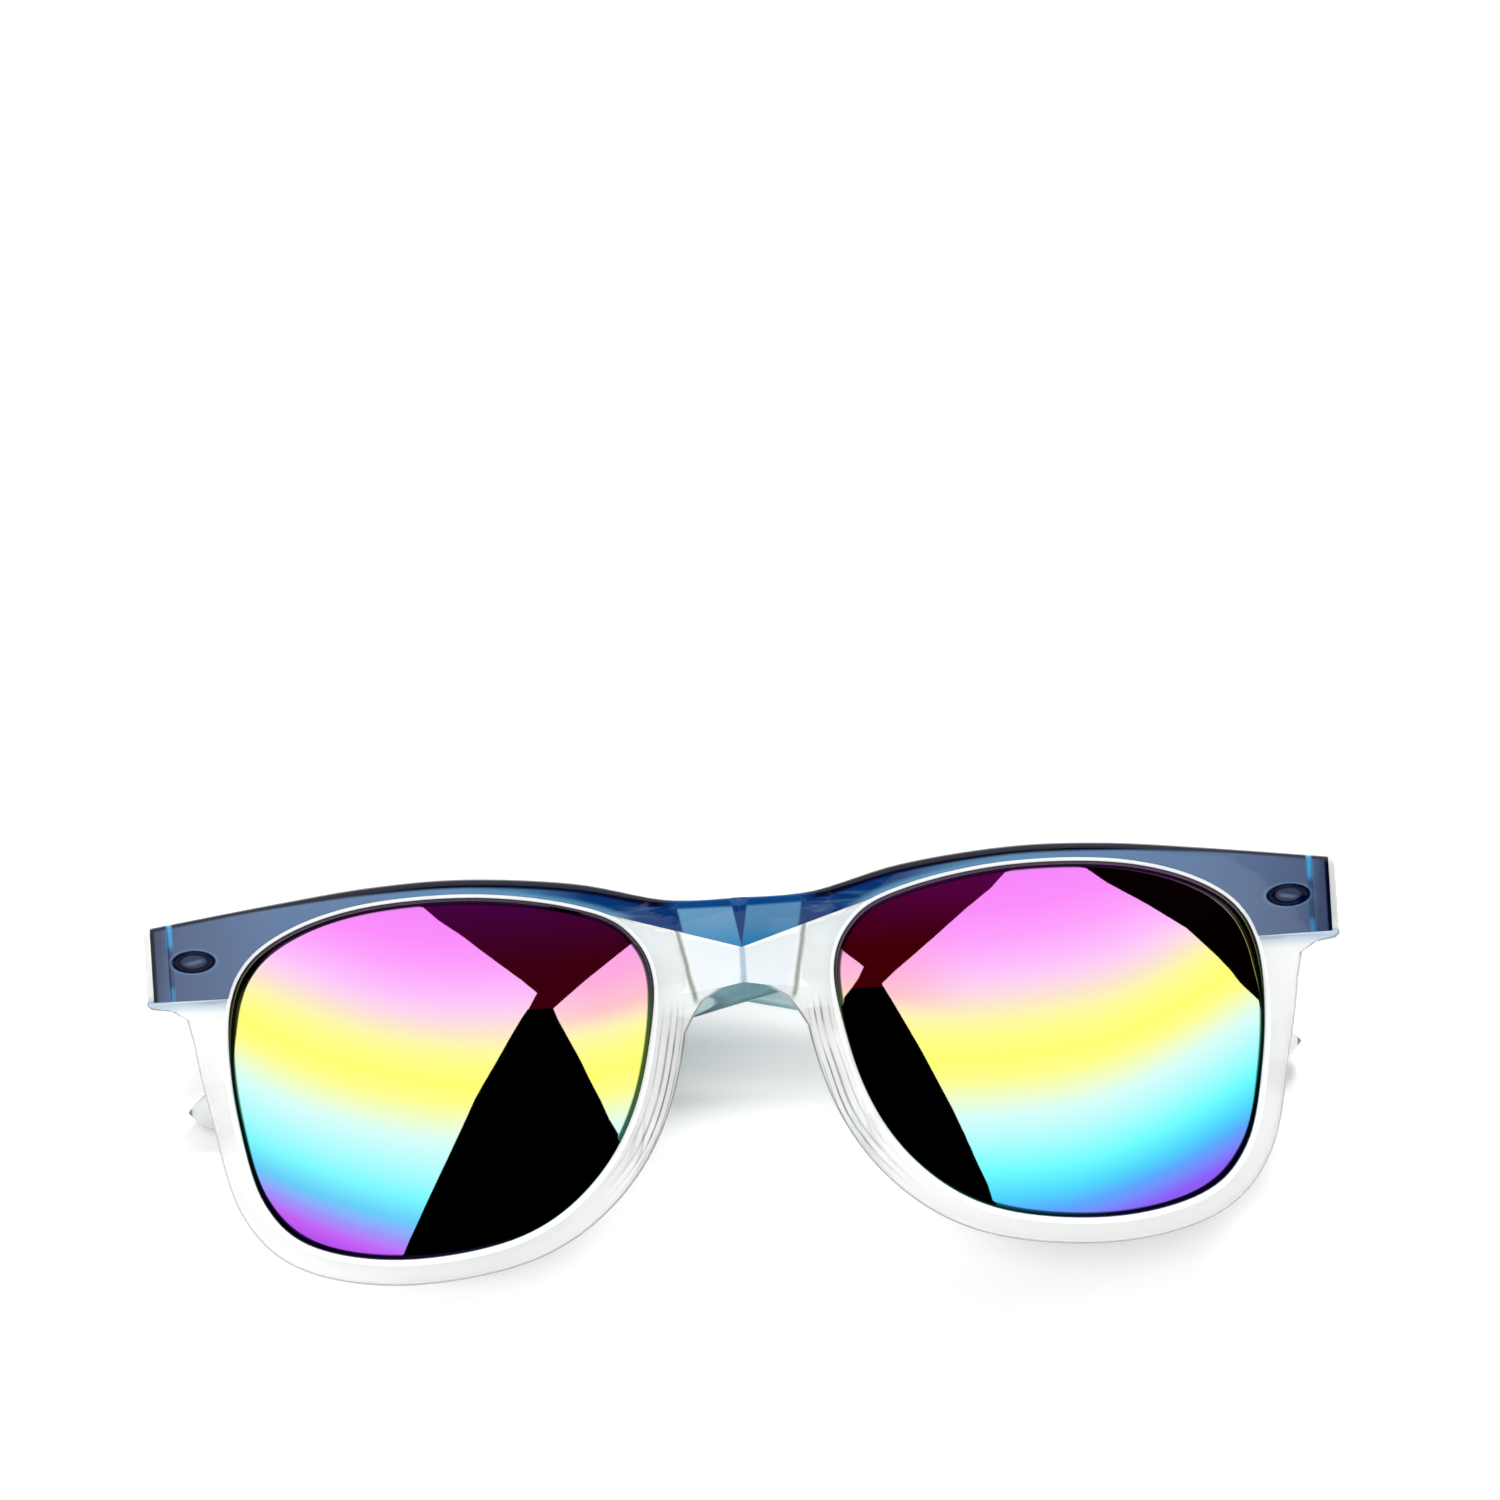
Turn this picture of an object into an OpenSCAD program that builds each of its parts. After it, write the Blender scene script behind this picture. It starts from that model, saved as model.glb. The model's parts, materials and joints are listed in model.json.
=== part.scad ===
// Folded mirrored sunglasses: a two-colour moulded front, snapped-in lenses and two hinged arms.
// The part is drawn facing +Z with the brow towards +Y, and is then laid down on its rims and arm tips.

/* [Front] */
// Width of an endpiece, from its lens opening to the front's outer edge
endpiece_w = 10; // [9.6:0.1:11]
// Radius of the front's curve, seen from above
front_r = 250; // [220:5:320]
// Thickness of the front, blue layer included
front_t = 5; // [4.6:0.1:6]
// Height of the brow line at the middle of the bridge
bridge_top = 4; // [3:0.1:5]
// Height of the top of the bridge's arch
arch_top = -6.2; // [-7:0.1:-5.4]
// Height of the arch's two lower corners
arch_foot = -8.2; // [-9:0.1:-7.6]
// Distance between the arch's lower corners
arch_w = 10; // [9:0.1:11]
// Highest point of the brow line
brow_peak = 8.1; // [7.8:0.1:9]
// Height of the outer top corner
corner_top = 4.2; // [3.8:0.1:5]
// Height of the outer bottom corner
corner_foot = -5.6; // [-6.4:0.1:-5]

/* [Lenses] */
// Width of one lens opening
lens_w = 52.4; // [50:0.2:53]
// Height of one lens opening
lens_h = 42.8; // [40:0.2:44]
// Gap between the two lens openings
bridge_w = 20.6; // [20:0.2:23]
// Height of the top of the lens openings
opening_top = 5.5; // [5.2:0.1:5.8]
// Thickness of a lens
lens_t = 1.8; // [1.4:0.1:2]
// Radius of a lens's outer face
lens_r = 130; // [110:5:170]
// How far a lens's rim sits below the front's face
lens_recess = 1.1; // [0.9:0.1:1.3]
// How far a lens reaches into its groove
lens_bite = 0.6; // [0.4:0.1:0.7]
// Clearance round a lens in its groove
lens_fit = 0.1; // [0.05:0.05:0.2]

/* [Rims] */
// Width of the rim beside and below a lens
rim_w = 3.3; // [3:0.1:3.8]
// Extra width of the rim on the nose side
nose_extra = 1.1; // [0.6:0.1:1.4]
// Width of a moulded nose pad
pad_w = 2.2; // [1.6:0.1:2.6]
// How far a nose pad stands out behind the front
pad_d = 5; // [3.5:0.5:6]
// Outward lean of a nose pad in degrees
pad_lean = 18; // [10:1:24]
// How far a nose pad is set in from the rim's edge
pad_inset = 0.35; // [0.2:0.05:0.6]

/* [Brow layer] */
// Thickness of the blue layer
brow_t = 1.8; // [1.2:0.1:2.2]
// Clear band between a lens opening and the blue layer
brow_gap = 1; // [0.7:0.1:1.4]
// Height of the blue layer's bottom edge on the endpieces
brow_foot = -4.7; // [-5:0.1:-4.2]
// Height of the point of the blue V on the bridge
v_tip = -2; // [-3:0.1:-1]
// Clear margin beyond the blue layer on the outer side
side_margin = 0.9; // [0.5:0.1:1.4]
// Distance of each oval mark from the front's outer edge
oval_inset = 6.1; // [5.8:0.1:6.6]
// Length of an oval mark
oval_w = 5.4; // [4:0.1:5.6]
// Height of an oval mark
oval_h = 2.7; // [2:0.1:3.2]
// Width and depth of the line moulded round an oval mark
oval_line = 0.5; // [0.3:0.1:0.7]
// Distance of each upright groove from the front's outer edge
groove_inset = 2.5; // [2.2:0.1:2.7]
// Width of an upright groove
groove_w = 0.6; // [0.4:0.1:0.8]

/* [Arms] */
// Length of an arm from its hinge to its tip
arm_l = 135; // [130:0.5:138]
// Thickness of an arm
arm_t = 3.4; // [3:0.1:3.6]
// Height of an arm at its hinge
arm_h = 9.6; // [9:0.1:10]
// Height of an arm near its tip
tip_h = 7.4; // [6.6:0.1:8]
// How far an arm's top edge drops at its tip
arm_drop = 17.6; // [16:0.2:19]
// Radius of an arm's inward bow
arm_bow_r = 1000; // [900:20:1400]
// Angle of the right arm behind the front, folded first
right_fold = 3.5; // [3.3:0.1:4]
// Angle of the left arm, which lies over the right one
left_fold = 8; // [8:0.1:9]

/* [Hinges] */
// Distance of each hinge axis from the front's outer edge
hinge_inset = 6.7; // [6.5:0.1:7.2]
// Distance of the hinge axes behind the back of the front's outer edge
hinge_back = 1.95; // [1.6:0.05:2.3]
// Radius of the hinge knuckles
knuckle_r = 1.4; // [1.3:0.05:1.5]
// Height of one hinge knuckle
knuckle_h = 2.3; // [2:0.1:2.4]
// Gap between two knuckles
knuckle_gap = 0.1; // [0.05:0.05:0.2]
// Radius of the hinge screw
screw_r = 0.7; // [0.6:0.05:0.8]
// Running clearance of the screw in its bores
screw_fit = 0.05; // [0.03:0.01:0.08]
// Radius of the screw's head
head_r = 1.25; // [1.1:0.05:1.35]
// Height of the screw's head
head_h = 0.7; // [0.5:0.1:0.8]
// Thickness of the hinge leaves
leaf_t = 1; // [0.8:0.1:1.2]
// Length of the leaf in an arm
arm_leaf_l = 8; // [6:0.5:10]
// Length of the leaf in the front
front_leaf_l = 3.6; // [3:0.1:4]
// Distance from a hinge axis to the arm's inner face
arm_inset = 2.3; // [2:0.1:2.4]
// Gap at the butt joint between an arm and the front
butt_gap = 0.15; // [0.1:0.05:0.3]

/* [Hidden] */

fine = 256;
small = 48;
reach = 40;
spline_steps = 5;
half_w = bridge_w / 2 + lens_w + endpiece_w;
lens_x = bridge_w / 2 + lens_w / 2;
lens_mid = opening_top - lens_h / 2;
hinge_x = half_w - hinge_inset;
hinge_z = face_z(half_w, front_t) - hinge_back;
oval_x = half_w - oval_inset;
groove_x = half_w - groove_inset;

// How far back the front's face lies at x, and the faces d below it
function face_z(x, d) = sqrt(pow(front_r - d, 2) - x * x) - front_r;

// The lens opening's outline in shares of its half width and half height, clockwise from the nose
lens_knots = [[-0.965, 0.45], [-0.86, 0.765], [-0.6, 0.915], [-0.15, 1], [0.35, 0.975],
    [0.72, 0.84], [0.93, 0.62], [1, 0.25], [0.975, -0.2], [0.88, -0.65], [0.66, -0.905],
    [0.22, -0.998], [-0.3, -0.9], [-0.65, -0.61], [-0.87, -0.16]];

// A point on a smooth curve between b and c, with a and d as its neighbours
function between(a, b, c, d, t) =
    0.5 * (2 * b + (c - a) * t + (2 * a - 5 * b + 4 * c - d) * t * t
    + (3 * b - a - 3 * c + d) * t * t * t);

function closed_curve(k) = [for (i = [0:len(k) - 1], j = [0:spline_steps - 1])
    between(k[(i + len(k) - 1) % len(k)], k[i], k[(i + 1) % len(k)],
        k[(i + 2) % len(k)], j / spline_steps)];

function open_curve(k) = concat([for (i = [0:len(k) - 2], j = [0:spline_steps - 1])
    between(k[max(i - 1, 0)], k[i], k[i + 1], k[min(i + 2, len(k) - 1)],
        j / spline_steps)], [k[len(k) - 1]]);

// The way out of a clockwise outline at its point i
function outward(p, i) =
    let (d = p[(i + 1) % len(p)] - p[(i + len(p) - 1) % len(p)])
    [-d.y, d.x] / norm(d);

function grown(p, by) = [for (i = [0:len(p) - 1]) p[i] + by * outward(p, i)];

lens_curve = [for (p = closed_curve(lens_knots))
    [lens_x + p.x * lens_w / 2, lens_mid + p.y * lens_h / 2]];

// The rim is wider where it faces the nose
function rim_at(i) = rim_w
    + nose_extra * pow(max(0, -outward(lens_curve, i).x), 2);
rim_curve = [for (i = [0:len(lens_curve) - 1])
    lens_curve[i] + rim_at(i) * outward(lens_curve, i)];

function mirrored(p) = [for (i = [len(p) - 1:-1:0]) [-p[i].x, p[i].y]];

// The brow line from the middle of the bridge to the outer corner
brow_line = open_curve([[0, bridge_top], [half_w * 0.12, bridge_top + 0.2],
    [half_w * 0.27, brow_peak - 1.3], [half_w * 0.45, brow_peak],
    [half_w * 0.61, brow_peak - 0.3], [half_w * 0.78, brow_peak - 1.7],
    [half_w - 0.6, corner_top + 0.1]]);

// The rim from under the endpiece round to the nose
endpiece_fillet = 3.2;
rim_start = corner_foot - endpiece_fillet;
rim_part = [for (i = [0:len(rim_curve) - 1])
    if (i >= 30 && rim_curve[i].y < rim_start
        && (rim_curve[i].x > lens_x || rim_curve[i].y < arch_foot - 1.5)) rim_curve[i]];
arch = open_curve([[arch_w / 2, arch_foot], [arch_w / 4, arch_top - 0.5], [0, arch_top]]);

half_front = concat(brow_line, [[half_w, corner_top - 0.6], [half_w, corner_foot + 0.5],
    [half_w - 0.5, corner_foot], [rim_part[0].x + 2.6, corner_foot - 0.3],
    [rim_part[0].x + 0.7, corner_foot - 1.4]], rim_part, arch);
front_outline = concat(half_front, mirrored([for (i = [1:len(half_front) - 2]) half_front[i]]));

// The blue layer's lower edge over one lens
brow_meet = bridge_w / 2 + 4.6;
brow_edge = [for (p = grown(lens_curve, brow_gap))
    if (p.y > brow_foot && p.x > brow_meet) p];
brow_low = concat([[0, v_tip]], brow_edge,
    [[brow_edge[len(brow_edge) - 1].x + 0.3, brow_foot], [half_w + 5, brow_foot]]);
brow_cut = concat(brow_low, [[half_w + 5, 20], [-half_w - 5, 20]],
    mirrored([for (i = [1:len(brow_low) - 1]) brow_low[i]]));

// Where the folded part touches the table: both arm tips and the left rim
tip_share = 0.93;
tip_s = arm_l * tip_share;
tip_v = corner_top - arm_drop - tip_h;

// The arm's side view, from the hinge to the tip, with s along the arm
arm_top = open_curve([[butt_gap, corner_top - 0.2], [arm_l * 0.22, corner_top - 0.2],
    [arm_l * 0.37, corner_top - arm_drop * 0.07], [arm_l * 0.49, corner_top - arm_drop * 0.235],
    [arm_l * 0.63, corner_top - arm_drop * 0.535], [arm_l * 0.78, corner_top - arm_drop * 0.81],
    [arm_l * 0.91, corner_top - arm_drop], [arm_l * 0.965, corner_top - arm_drop - 1.3],
    [arm_l * 0.993, corner_top - arm_drop - 3.2], [arm_l, corner_top - arm_drop - 5]]);
arm_low = open_curve([[arm_l * 0.985, corner_top - arm_drop - tip_h + 0.4],
    [tip_s, corner_top - arm_drop - tip_h],
    [arm_l * 0.78, corner_top - arm_drop * 0.81 - tip_h - 0.8],
    [arm_l * 0.63, corner_top - arm_drop * 0.535 - tip_h - 1.4],
    [arm_l * 0.49, corner_top - arm_drop * 0.235 - arm_h + 0.1],
    [arm_l * 0.37, corner_top - arm_drop * 0.07 - arm_h + 0.3],
    [arm_l * 0.22, corner_top - 0.1 - arm_h], [butt_gap, corner_top - 0.2 - arm_h]]);
arm_side = concat(arm_top, arm_low);

// A point on an arm's outer face, s along the arm and at height v
function arm_face(side, fold, s, v) =
    let (depth = sqrt(pow(arm_bow_r + arm_t, 2) - s * s) - arm_bow_r + arm_inset)
    [side * (s * cos(fold) - depth * sin(fold) - hinge_x), v,
    hinge_z - depth * cos(fold) - s * sin(fold)];
left_tip = arm_face(1, left_fold, tip_s, tip_v);
right_tip = arm_face(-1, right_fold, tip_s, tip_v);

// The left rim touches the table where it makes the front lean back the most
function floor_under(p) = cross(right_tip - left_tip, p - left_tip);
function lean_on(p) = atan2(floor_under(p).y, floor_under(p).z);
rim_back = [for (p = rim_part) [-p.x, p.y, face_z(p.x, front_t)]];
leans = [for (p = rim_back) lean_on(p)];
rim_low = rim_back[search(min(leans), leans)[0]];
level = floor_under(rim_low);
lean = atan2(level.y, level.z);
roll = -atan2(level.x, norm([level.y, level.z]));

function turned_x(p, a) = [p.x, p.y * cos(a) - p.z * sin(a), p.y * sin(a) + p.z * cos(a)];
function turned_y(p, a) = [p.x * cos(a) + p.z * sin(a), p.y, p.z * cos(a) - p.x * sin(a)];
function laid(p) = turned_y(turned_x(p, lean), roll);

// The outermost points, which put the origin under the middle of the part
edge_points = concat(
    [for (p = front_outline, d = [0, front_t]) laid([p.x, p.y, face_z(p.x, d)])],
    [for (p = arm_side) laid(arm_face(1, left_fold, p.x, p.y))],
    [for (p = arm_side) laid(arm_face(-1, right_fold, p.x, p.y))]);
lows = [for (a = [0:2]) min([for (p = edge_points) p[a]])];
highs = [for (a = [0:2]) max([for (p = edge_points) p[a]])];
origin = [(lows.x + highs.x) / 2, (lows.y + highs.y) / 2, lows.z];

module lay_down() {
    translate(-origin) rotate([lean, roll, 0]) children();
}

// All that lies deeper than d below the front's curved face
module behind(d) {
    translate([0, 0, -front_r])
        rotate([90, 0, 0])
            cylinder(h = 4 * reach, r = front_r - d, center = true, $fn = fine);
}

module prism(points) {
    translate([0, 0, -reach]) linear_extrude(2 * reach) polygon(points);
}

module both_sides() {
    children();
    mirror([1, 0, 0]) children();
}

// The lens leans outwards with the front, so its ball's middle lies inwards of the lens
lens_in = bridge_w / 2;
lens_out = bridge_w / 2 + lens_w;
lens_tilt = atan((lens_out * lens_out - lens_in * lens_in) / 2 / front_r / lens_w);
lens_sag = lens_r - sqrt(lens_r * lens_r - lens_w * lens_w / 4);
chord_z = -(lens_in * lens_in + lens_out * lens_out) / 4 / front_r;
lens_top = chord_z - lens_recess + lens_sag;
ball = [lens_x - lens_r * sin(lens_tilt), lens_mid, lens_top - lens_r * cos(lens_tilt)];

// The shell between two balls, which a lens and its groove are cut from
module lens_shell(spare) {
    translate(ball)
        difference() {
            sphere(r = lens_r + spare, $fn = fine);
            sphere(r = lens_r - lens_t - spare, $fn = fine);
        }
}

module lens_cut(by, spare) {
    intersection() {
        prism(grown(lens_curve, by));
        lens_shell(spare);
    }
}

module one_lens() {
    lens_cut(lens_bite, 0);
}

// A nose pad: the strip of rim beside the nose, carried backwards and leaning out
pad_rows = [for (i = [0:len(rim_curve) - 1])
    if (rim_curve[i].x < lens_x - lens_w / 4 && rim_curve[i].y < arch_foot - 2.5
        && rim_curve[i].y > lens_mid - lens_h / 5) i];
function pad_side(i, by) = rim_curve[i] - by * outward(lens_curve, i);
pad_outline = concat([for (i = pad_rows) pad_side(i, pad_inset)],
    [for (k = [len(pad_rows) - 1:-1:0]) pad_side(pad_rows[k], pad_inset + pad_w)]);
pad_root = rim_curve[pad_rows[0]];

module nose_pad() {
    translate([pad_root.x, 0, -front_t + 1])
        rotate([0, -pad_lean, 0])
            translate([-pad_root.x, 0, -pad_d - 1])
                linear_extrude(pad_d + 1) polygon(pad_outline);
}

// The hinge's middle height, and the parts of it that the front and the arms are cut for
hinge_y = (corner_top + corner_foot) / 2;
barrel_h = 3 * knuckle_h + 2 * knuckle_gap;
block_x = hinge_x + knuckle_r + 0.4;
leaf_top_z = hinge_z + knuckle_r + 2.2;
leaf_far_x = hinge_x - front_leaf_l;

// Both reach into the front, up to below the bed of the blue layer at its outer edge
root_z = face_z(half_w, 0) - brow_t;

module front_leaf_plate() {
    translate([leaf_far_x, hinge_y - barrel_h / 2, leaf_top_z - leaf_t])
        cube([front_leaf_l - 0.4, barrel_h, leaf_t]);
}

module hinge_block() {
    translate([block_x, corner_foot + 0.4, hinge_z])
        cube([half_w - block_x - 0.2, corner_top - corner_foot - 0.8, root_z - hinge_z]);
}

// A pad behind the endpiece that the front leaf is sunk into
module leaf_seat() {
    translate([leaf_far_x - 1, corner_foot + 0.4, leaf_top_z - leaf_t])
        cube([block_x - leaf_far_x + 2, corner_top - corner_foot - 0.8,
            root_z - leaf_top_z + leaf_t]);
}

module front_frame() {
    color([0.92, 0.95, 0.96, 0.45])
        lay_down()
            difference() {
                union() {
                    intersection() {
                        prism(front_outline);
                        difference() {
                            behind(0);
                            behind(front_t);
                        }
                    }
                    both_sides() {
                        nose_pad();
                        hinge_block();
                        leaf_seat();
                    }
                }
                // the bed of the blue layer
                difference() {
                    prism(brow_cut);
                    behind(brow_t);
                }
                both_sides() {
                    prism(lens_curve);
                    lens_cut(lens_bite + lens_fit, lens_fit);
                    front_leaf_plate();
                }
            }
}

// The blue layer stops short of the clear one on the outer side
blue_half = concat([for (p = brow_line) if (p.x < half_w - side_margin - 0.6) p],
    [[half_w - side_margin - 0.5, corner_top + 0.1], [half_w - side_margin, corner_top - 0.5],
    [half_w - side_margin, brow_foot]]);
blue_low = concat([for (i = [len(brow_low) - 2:-1:0]) brow_low[i]]);
blue_outline = concat(blue_half, blue_low,
    mirrored([for (i = [0:len(blue_low) - 2]) blue_low[i]]),
    mirrored([for (i = [1:len(blue_half) - 1]) blue_half[i]]));

function oval(w, h) = [for (a = [0:12:348]) [oval_x + w / 2 * cos(a), h / 2 * sin(a)]];

module oval_mark() {
    difference() {
        prism(oval(oval_w, oval_h));
        prism(oval(oval_w - 2 * oval_line, oval_h - 2 * oval_line));
        behind(oval_line);
    }
}

module upright_groove() {
    difference() {
        translate([groove_x - groove_w / 2, brow_foot - 1, -reach])
            cube([groove_w, 2 * reach, 2 * reach]);
        behind(groove_w / 2);
    }
}

module brow_layer() {
    color([0.1, 0.3, 0.62, 0.85])
        lay_down()
            difference() {
                intersection() {
                    prism(blue_outline);
                    difference() {
                        behind(0);
                        behind(brow_t);
                    }
                }
                both_sides() {
                    oval_mark();
                    upright_groove();
                }
            }
}

module left_lens() {
    color([0.45, 0.2, 0.6]) lay_down() mirror([1, 0, 0]) one_lens();
}

module right_lens() {
    color([0.2, 0.6, 0.75]) lay_down() one_lens();
}

// The leaf in the front: a sunk plate, a web and the two outer knuckles
module one_front_leaf() {
    difference() {
        union() {
            front_leaf_plate();
            for (up = [-1, 1])
                translate([0, hinge_y + up * (knuckle_h + knuckle_gap) - knuckle_h / 2, 0]) {
                    translate([hinge_x - knuckle_r, 0, hinge_z])
                        cube([leaf_t, knuckle_h, leaf_top_z - hinge_z - leaf_t / 2]);
                    translate([hinge_x, 0, hinge_z])
                        rotate([-90, 0, 0])
                            cylinder(h = knuckle_h, r = knuckle_r, $fn = small);
                }
        }
        hinge_bore();
    }
}

module hinge_bore() {
    translate([hinge_x, hinge_y - barrel_h, hinge_z])
        rotate([-90, 0, 0])
            cylinder(h = 2 * barrel_h, r = screw_r + screw_fit, $fn = small);
}

module left_front_leaf() {
    color("silver") lay_down() mirror([1, 0, 0]) one_front_leaf();
}

module right_front_leaf() {
    color("silver") lay_down() one_front_leaf();
}

// The screw: a shaft through all three knuckles and a slotted head on the upper one
module one_screw() {
    difference() {
        translate([hinge_x, hinge_y - barrel_h / 2, hinge_z])
            rotate([-90, 0, 0]) {
                cylinder(h = barrel_h + head_h / 2, r = screw_r, $fn = small);
                translate([0, 0, barrel_h]) cylinder(h = head_h, r = head_r, $fn = small);
            }
        translate([hinge_x, hinge_y + barrel_h / 2 + head_h, hinge_z])
            cube([3 * head_r, head_h * 0.8, screw_r / 2], center = true);
    }
}

module left_hinge_screw() {
    color("gray") lay_down() mirror([1, 0, 0]) one_screw();
}

module right_hinge_screw() {
    color("gray") lay_down() one_screw();
}

// An arm about its hinge axis, folded flat behind the front and pointing to +X
module one_arm() {
    difference() {
        intersection() {
            prism(arm_side);
            translate([0, 0, arm_bow_r - arm_inset])
                rotate([90, 0, 0])
                    difference() {
                        cylinder(h = 4 * reach, r = arm_bow_r + arm_t, center = true, $fn = fine);
                        cylinder(h = 5 * reach, r = arm_bow_r, center = true, $fn = fine);
                    }
        }
        arm_leaf_plate();
        arm_leaf_web();
    }
}

module arm_leaf_plate() {
    translate([web_l - leaf_t, hinge_y - barrel_h / 2, -arm_inset - leaf_t])
        cube([arm_leaf_l, barrel_h, leaf_t]);
}

// The web carries the middle knuckle on the plate
web_l = 2.5;
module arm_leaf_web() {
    translate([0, hinge_y - knuckle_h / 2, -arm_inset - leaf_t / 2])
        cube([web_l, knuckle_h, arm_inset + leaf_t / 2 - screw_r + 0.3]);
}

// The leaf in an arm: a sunk plate, a web and the middle knuckle
module one_arm_leaf() {
    difference() {
        union() {
            arm_leaf_plate();
            arm_leaf_web();
            translate([0, hinge_y - knuckle_h / 2, 0])
                rotate([-90, 0, 0])
                    cylinder(h = knuckle_h, r = knuckle_r, $fn = small);
        }
        translate([-hinge_x, 0, -hinge_z]) hinge_bore();
    }
}

module on_left_hinge() {
    lay_down() translate([-hinge_x, 0, hinge_z]) rotate([0, left_fold, 0]) children();
}

module on_right_hinge() {
    lay_down()
        translate([hinge_x, 0, hinge_z])
            rotate([0, -right_fold, 0])
                mirror([1, 0, 0]) children();
}

module left_arm() {
    color([0.25, 0.5, 0.62, 0.8]) on_left_hinge() one_arm();
}

module right_arm() {
    color([0.25, 0.5, 0.62, 0.8]) on_right_hinge() one_arm();
}

module left_arm_leaf() {
    color("silver") on_left_hinge() one_arm_leaf();
}

module right_arm_leaf() {
    color("silver") on_right_hinge() one_arm_leaf();
}

front_frame();
brow_layer();
left_lens();
right_lens();
left_front_leaf();
right_front_leaf();
left_arm_leaf();
right_arm_leaf();
left_hinge_screw();
right_hinge_screw();
left_arm();
right_arm();
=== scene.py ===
import json
import math

import bmesh
import bpy
from mathutils import Matrix, Vector
from mathutils.geometry import intersect_point_line


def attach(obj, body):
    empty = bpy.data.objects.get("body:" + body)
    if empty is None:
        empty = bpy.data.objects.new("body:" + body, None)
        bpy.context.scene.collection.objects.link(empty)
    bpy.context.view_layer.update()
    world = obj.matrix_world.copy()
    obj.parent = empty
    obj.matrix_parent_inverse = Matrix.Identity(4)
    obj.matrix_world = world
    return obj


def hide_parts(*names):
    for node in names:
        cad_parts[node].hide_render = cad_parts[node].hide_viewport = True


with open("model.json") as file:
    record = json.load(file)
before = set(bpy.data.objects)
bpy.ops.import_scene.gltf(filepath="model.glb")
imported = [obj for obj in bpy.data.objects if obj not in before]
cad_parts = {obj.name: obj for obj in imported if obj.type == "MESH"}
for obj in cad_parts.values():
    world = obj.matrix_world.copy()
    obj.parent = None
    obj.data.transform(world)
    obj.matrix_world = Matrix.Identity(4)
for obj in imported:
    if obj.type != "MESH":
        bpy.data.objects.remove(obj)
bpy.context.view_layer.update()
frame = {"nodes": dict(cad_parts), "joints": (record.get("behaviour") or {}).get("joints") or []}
print("stage: packed frame loaded")

# the front's own frame: u to the right, v up to the brow, w out towards the viewer, all in mm;
# the hinges' axes cross it at this height and depth
hingeHeight = -0.7
hingeDepth = -17.984
joints = {j["name"]: j for j in frame["joints"]}
leftAxis = Vector(joints["left_hinge"]["pos_m"])
rightAxis = Vector(joints["right_hinge"]["pos_m"])
upWay = Vector(joints["left_hinge"]["axis"]).normalized()
acrossWay = (rightAxis - leftAxis).normalized()
outWay = acrossWay.cross(upWay).normalized()
turn = Matrix((acrossWay, upWay, outWay)).transposed().to_4x4()
toRow = (Matrix.Translation((leftAxis + rightAxis) / 2) @ turn @ Matrix.Scale(0.001, 4)
         @ Matrix.Translation((0, -hingeHeight, -hingeDepth)))
toFront = toRow.inverted()


def paint(red, green, blue, alpha=1.0):  # a screen colour, 0 to 255, as Blender's linear one
    return tuple((c / 255 / 12.92) if c <= 10 else ((c / 255 + 0.055) / 1.055) ** 2.4
                 for c in (red, green, blue)) + (alpha,)


def addObject(name, data):
    made = bpy.data.objects.new(name, data)
    bpy.context.scene.collection.objects.link(made)
    return made


def addMesh(bm, name, finishes):
    mesh = bpy.data.meshes.new(name)
    bm.to_mesh(mesh)
    bm.free()
    for finish in finishes:
        mesh.materials.append(finish)
    return addObject(name, mesh)


# a node's output, for shader maths as plain expressions
class Wire:
    def __init__(self, finish, socket):
        self.finish, self.socket = finish, socket

    def maths(self, operation, *values):
        return self.finish.add("Math", {"operation": operation}, dict(enumerate(values)))

    def __add__(self, other):
        return self.maths("ADD", self, other)

    def __radd__(self, other):
        return self.maths("ADD", other, self)

    def __sub__(self, other):
        return self.maths("SUBTRACT", self, other)

    def __rsub__(self, other):
        return self.maths("SUBTRACT", other, self)

    def __mul__(self, other):
        return self.maths("MULTIPLY", self, other)

    def __rmul__(self, other):
        return self.maths("MULTIPLY", other, self)

    def __truediv__(self, other):
        return self.maths("DIVIDE", self, other)

    def __abs__(self):
        return self.maths("ABSOLUTE", self)

    def __pow__(self, other):
        return self.maths("POWER", self, other)


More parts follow.
